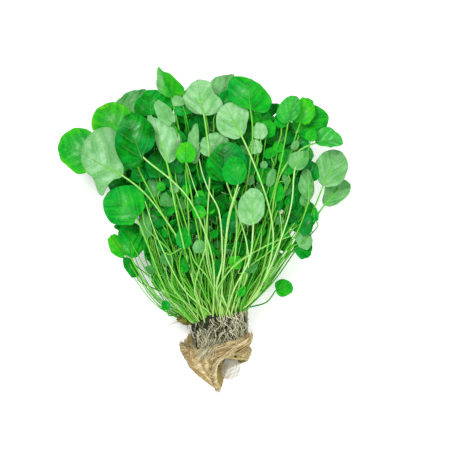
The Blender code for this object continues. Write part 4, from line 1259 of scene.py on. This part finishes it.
def matPoint(row, turn, out=0.0):  # row 0 top to 1 tip, turn 0 at the front edge to 1 at the back edge
    narrowing = 1 - max(0.0, row) ** 2.2
    halfX, halfZ = (mat["tipHalf"] + (half - mat["tipHalf"]) * narrowing for half in mat["topHalf"])
    degrees = matDegrees(row, turn)
    lapFrom, lapSpan, lapOut, lapIn = mat["lapped"]
    angle, lapped = math.radians(degrees), (degrees - lapFrom) / lapSpan
    out += lapOut * math.sin(math.pi * clamp(lapped)) - lapIn * ease(0, 1, lapped * 1.4)
    squareness = ease(0.55, 1.0, row * 1.5)
    across, up = (squashed(wave(angle), squareness) for wave in (math.cos, math.sin))
    edge = max(0.0, 1 - 3 * row)
    flap = edge * max(0.0, -math.cos(angle)) ** 6
    dip = edge * max(0.0, math.sin(angle)) ** 2
    lean = plug["turn"] * (1 - row)
    waistRow, waistSpread, waistDepth = mat["waist"]
    reach = (halfX + out) * across - 0.6 * mat["flap"] * flap
    reach -= waistDepth * bell(row - waistRow, waistSpread) * max(0.0, math.cos(angle)) ** 2
    middleX, middleY = (top + (tip - top) * row for top, tip in zip(mat["top"], mat["tip"]))
    y = middleY + reach * math.sin(lean) + mat["flap"] * flap - mat["dip"] * dip
    y += mat["shoulder"] * max(0.0, 1 - 2.2 * row) * bell(turn, 0.16)
    backDegrees, backSpread, backRise = mat["back"]
    y += backRise * edge * bell(degrees - backDegrees, backSpread)
    return Vector((middleX + reach * math.cos(lean), y,
                   halfZ + mat["thickness"] - mat["sink"] + (halfZ + out) * up))


def outward(point):  # the way out from the line that the sheet goes round
    return (point - Vector((mat["top"][0], point.y, mat["core"]))).normalized()


def matSurface(row, turn):  # the wrapped sheet with its folds, dents, torn top and rolled front edge
    rag, swell = 0.0, 0.5 * mat["thickness"]
    for much, often, shift in mat["rag"]:
        rag += much * grain(turn * often, shift)
    row = rag + row * (1 - rag)
    turn = turn + 0.006 * grain(row * 40, 9.3) * (1 if turn > 0.5 else 0.3)
    for much, often, down, shift in mat["swell"]:
        swell += much * grain(turn * often, row * down, shift)
    degrees, (ridge, spread) = matDegrees(row, turn), mat["ridge"]
    folds = 0.7 * math.sin(degrees * 0.09 + row * 3 + 2 * grain(turn * 3, row * 2))
    folds = folds * ease(0, 1, row * 3) * (1 - row)
    ridge = ridge * bell(degrees - mat["fold"], spread) * ease(0, 1, row * 8) * (1 - row * 0.8)
    point = matPoint(row, turn, swell + folds + ridge)
    edge, seenFrom, radius, halfTurns = mat["roll"]
    rolled = max(0.0, 1 - turn / edge)
    if rolled:
        radius = (radius + 0.5 * grain(row * 9, 4.4)) * (1 - 0.4 * row)
        curl = rolled * halfTurns * math.pi
        here, after = matPoint(row, edge, swell), matPoint(row, seenFrom, swell)
        along = (matPoint(min(row + 0.02, 1), edge, swell) - matPoint(row - 0.02, edge, swell)).normalized()
        side = here - after
        side = (side - along * side.dot(along)).normalized()  # straight off the edge, also where it slants
        point = here + side * math.sin(curl) * radius + outward(here) * (1 - math.cos(curl)) * radius
    point.z = max(point.z, mat["wall"] / 2 + 0.05 + 0.25 * (1 + grain(turn * 40, row * 30)))
    return point


def makeMat():
    points, faces, values = [], [], {"tone": [], "orange": [], "inner": [], "hole": []}
    width = mat["round"] + 1
    for row in range(mat["rows"] + 1):
        for step in range(width):
            share, turn = row / mat["rows"], step / mat["round"]
            points.append(place(matSurface(share, turn)))
            # The rolled front edge and a band beside the long fold are painted lighter, painted highlights;
            # the torn top is a little lighter too.
            edge = max(0.0, 1 - turn / 0.05) * 0.55 + max(0.0, 1 - share / 0.05) * 0.25
            offFold = matDegrees(share, turn) - mat["fold"]
            values["tone"].append(0.44 + edge + bell(offFold + 6, 4) * 0.40
                                  + 0.13 * grain(turn * 12, share * 5) + 0.14 * grain(turn * 40, share * 16))
            values["orange"].append(bell(offFold - 16, 13) * ease(1, 0.4, share))
            values["inner"].append(ease(0, 1, (turn - 0.72) / 0.12))
            # The holes are painted, not cut: a dark painted shade spot.
            near = (math.exp(-((share - r) ** 2 * 900 + (turn - t) ** 2 * 9000)) for r, t in mat["paintedHoles"])
            values["hole"].append(float(max(near) > 0.5))
            if row and step:
                b = len(points) - 1
                a = b - width
                faces.append((a - 1, a, b, b - 1))
    sheet = newObject("fibreMat", makeMesh("fibreMat", points, (), faces, **values), matMaterial)
    sheet.data.shade_smooth()
    wall = sheet.modifiers.new("wall", "SOLIDIFY")
    wall.thickness, wall.offset = mat["wall"] * mm, 0.0
    dress(sheet, "fibre_mat", "fibre_mat")
    # 34 mm is the strip's height in the photo, and 0.72 the part of its rectangle that isn't torn off
    area = sum(face.area for face in sheet.data.polygons)
    print("fibre mat, flat area in mm2:", round(area / mm**2))


matFibres = {
    "count": 5200, "seed": 4, "length": (2.5, 10.0), "thick": (0.06, 0.22), "tone": (0.55, 0.38),
    "fringe": 0.14,  # the part that starts at an edge
    "down": 32.0, "round": 105.0,  # the mat's length and girth
    "above": (0.1, 0.8), "lowest": 0.3,  # how far over the mat, and over the table
}


def makeMatFibres():  # loose fibres that lie on the mat and stick out of its edges
    threads, dice = Threads(), random.Random(matFibres["seed"])
    for _ in range(matFibres["count"]):
        row, turn = dice.random() ** 1.2, dice.random() ** 1.3
        if dice.random() < matFibres["fringe"]:
            row, turn = dice.choice(((dice.uniform(0, 0.04), turn), (row, dice.uniform(0, 0.02)),
                                     (dice.uniform(0.9, 1), turn)))
        length = dice.uniform(*matFibres["length"]) * dice.uniform(0.5, 1)
        slant = dice.gauss(0, 0.8) + (math.pi if dice.random() < 0.5 else 0)
        start, phase, reach = dice.uniform(*matFibres["above"]), dice.uniform(0, 9), dice.random() ** 2
        path = []
        for step in range(6):
            share = step / 5
            goRow = row + length / matFibres["down"] * share * math.cos(slant)
            goRow += 0.012 * math.sin(phase + 5 * share)
            goTurn = turn + length / matFibres["round"] * share * math.sin(slant)
            goTurn += 0.008 * math.sin(phase * 2 + 6 * share)
            inside = matSurface(clamp(goRow), clamp(goTurn))
            # past an edge a fibre runs on: up at the torn top, down at the tip, out at the front edge
            over = Vector((0, 1, 0)) * max(0, -goRow) * 20 * reach
            over += Vector((-0.1, -1, 0)) * min(0.14, max(0, goRow - 1)) * 34 * reach
            over += Vector((0.5, -0.8, 0)) * max(0, -goTurn) * 60
            spot = inside + outward(inside) * (start + 0.5 * math.sin(phase + 3 * share)) + over
            spot.z = max(spot.z, matFibres["lowest"])
            path.append(spot)
        thick = dice.uniform(*matFibres["thick"])
        threads.add(path, taper(thick, thick * 0.5), same, clamp(dice.gauss(*matFibres["tone"])))
    dress(threads.sweep("matFibres", fibreMaterial, 3), "fibre_mat")
    print("mat fibres:", matFibres["count"])


makeMat()
makeMatFibres()


# The pale lining that shows in the mat's open side, and the brown tangle at the plug's shoulder.
liner = {"middle": Vector((17.8, -91.6, 14)), "half": Vector((6.2, 6.8, 8.5)), "flat": 0.35, "creases": 2.6}
sideTangle = {
    "middle": Vector((-12.2, -60.4, 15.5)), "half": Vector((5.0, 3.3, 5.0)), "count": 190, "seed": 6,
    "thick": (0.12, 0.30), "tone": (0.4, 0.3),
    "ends": ((-24, -64, 12), (-24, -56, 14), (-11, -66.5, 9)),  # where three loose roots end
}


def makeLiner():  # a thin clear film, crumpled flat, with a few curved creases
    values = {"crease": [], "beige": []}

    def bend(point):
        way = point.normalized()
        fold = grain(way.x * 1.3, way.y * 1.3 + 4, way.z * 1.3)
        turn = math.hypot(way.x + 0.7, way.y - 0.5) * liner["creases"] + 0.8 * grain(way.x * 2, way.y * 2, 7)
        sharp = max(0.0, 1 - abs((turn % 1) - 0.5) * 7) ** 1.5
        values["crease"].append(sharp)
        values["beige"].append(ease(0, 1, (0.15 - way.x - 0.3 * way.y) / 1.1))
        drawn = 0.24 * max(0.0, -0.6 * way.x - 0.8 * way.y) ** 4
        own = Vector((way.x, way.y, squashed(way.z, liner["flat"])))
        return liner["middle"] + liner["half"] * (own * (0.96 + 0.12 * fold + 0.05 * sharp + drawn))

    mesh = bentMesh("linerFilm", newBall(6), bend)
    addValues(mesh, values)
    mesh.shade_smooth()
    dress(newObject("linerFilm", mesh, linerMaterial), "root_liner", "root_liner")


def makeSideTangle():
    threads, dice = Threads(), random.Random(sideTangle["seed"])
    middle, half = sideTangle["middle"], sideTangle["half"]
    for _ in range(sideTangle["count"]):
        spots = []
        for _ in range(4):
            way = Vector(dice.gauss(0, 1) for _ in range(3)).normalized() * dice.uniform(0.3, 1.0) ** 0.7
            spots.append(middle + half * way + Vector((way.x * 1.5, way.x * -1.2, 0)))
        thick, tone = dice.uniform(*sideTangle["thick"]), clamp(dice.gauss(*sideTangle["tone"]))
        threads.add(smoothPath(spots, 12), taper(thick, thick * 0.6), same, tone)
    for end in sideTangle["ends"]:
        path = smoothPath([middle, middle.lerp(Vector(end), 0.6) + Vector((0, 1, 1)), end], 10)
        threads.add(path, taper(0.30, 0.12), same, 0.3)
    dress(threads.sweep("sideTangle", tangleMaterial, 5), "side_roots", "side_roots")


makeLiner()
makeSideTangle()
print("liner and side roots done")


# Studio: a pale floor, two broad soft lights and a bright sky, seen from straight above.
studio = {
    "floorSize": 12.0, "floorTint": (0.95, 0.95, 0.945, 1), "sky": 0.52,
    "floorGlow": 0.28,  # the floor is a light table, so that shadows stay faint
    "lamps": (  # where from, size, power
        (Vector((-0.42, 0.50, 1.35)), 0.55, 15.0),
        (Vector((0.75, -0.55, 1.20)), 1.20, 12.0),
    ),
    "aim": Vector((0.01436, 0.00274, 0.0)), "cameraHeight": 1.676, "lens": 200.0,
}


def makeStudio():
    scene = bpy.context.scene
    scene.view_settings.view_transform = "Standard"
    half = studio["floorSize"] / 2
    corners = [(-half, -half, 0), (half, -half, 0), (half, half, 0), (-half, half, 0)]
    paper = Skin("floorPaper", {"Specular IOR Level": 0.1, "Roughness": 0.9, "Emission Color": (1, 1, 1, 1),
                                "Emission Strength": studio["floorGlow"]})
    paper.feed(baseColor=paper.mix(paper.cloud(3, 2) * 0.02, studio["floorTint"], (0.9, 0.9, 0.9, 1)))
    newObject("floor", makeMesh("floor", corners, (), [(0, 1, 2, 3)]), paper.material)

    world = bpy.data.worlds.new("sky")
    world.use_nodes = True
    background = world.node_tree.nodes["Background"]
    background.inputs["Color"].default_value = (1, 1, 1, 1)
    background.inputs["Strength"].default_value = studio["sky"]
    scene.world = world

    for number, (home, size, power) in enumerate(studio["lamps"], start=1):
        lamp = bpy.data.lights.new(f"softbox_{number}", "AREA")
        lamp.size, lamp.energy = size, power
        lampObject = bpy.data.objects.new(lamp.name, lamp)
        lampObject.location = home
        lampObject.rotation_euler = (studio["aim"] - home).to_track_quat("-Z", "Y").to_euler()
        scene.collection.objects.link(lampObject)

    camera = bpy.data.cameras.new("camera")
    camera.lens = studio["lens"]
    cameraObject = bpy.data.objects.new("camera", camera)
    cameraObject.location = (studio["aim"].x, studio["aim"].y, studio["cameraHeight"])
    scene.collection.objects.link(cameraObject)
    scene.camera = cameraObject
    print("studio ready")


makeStudio()
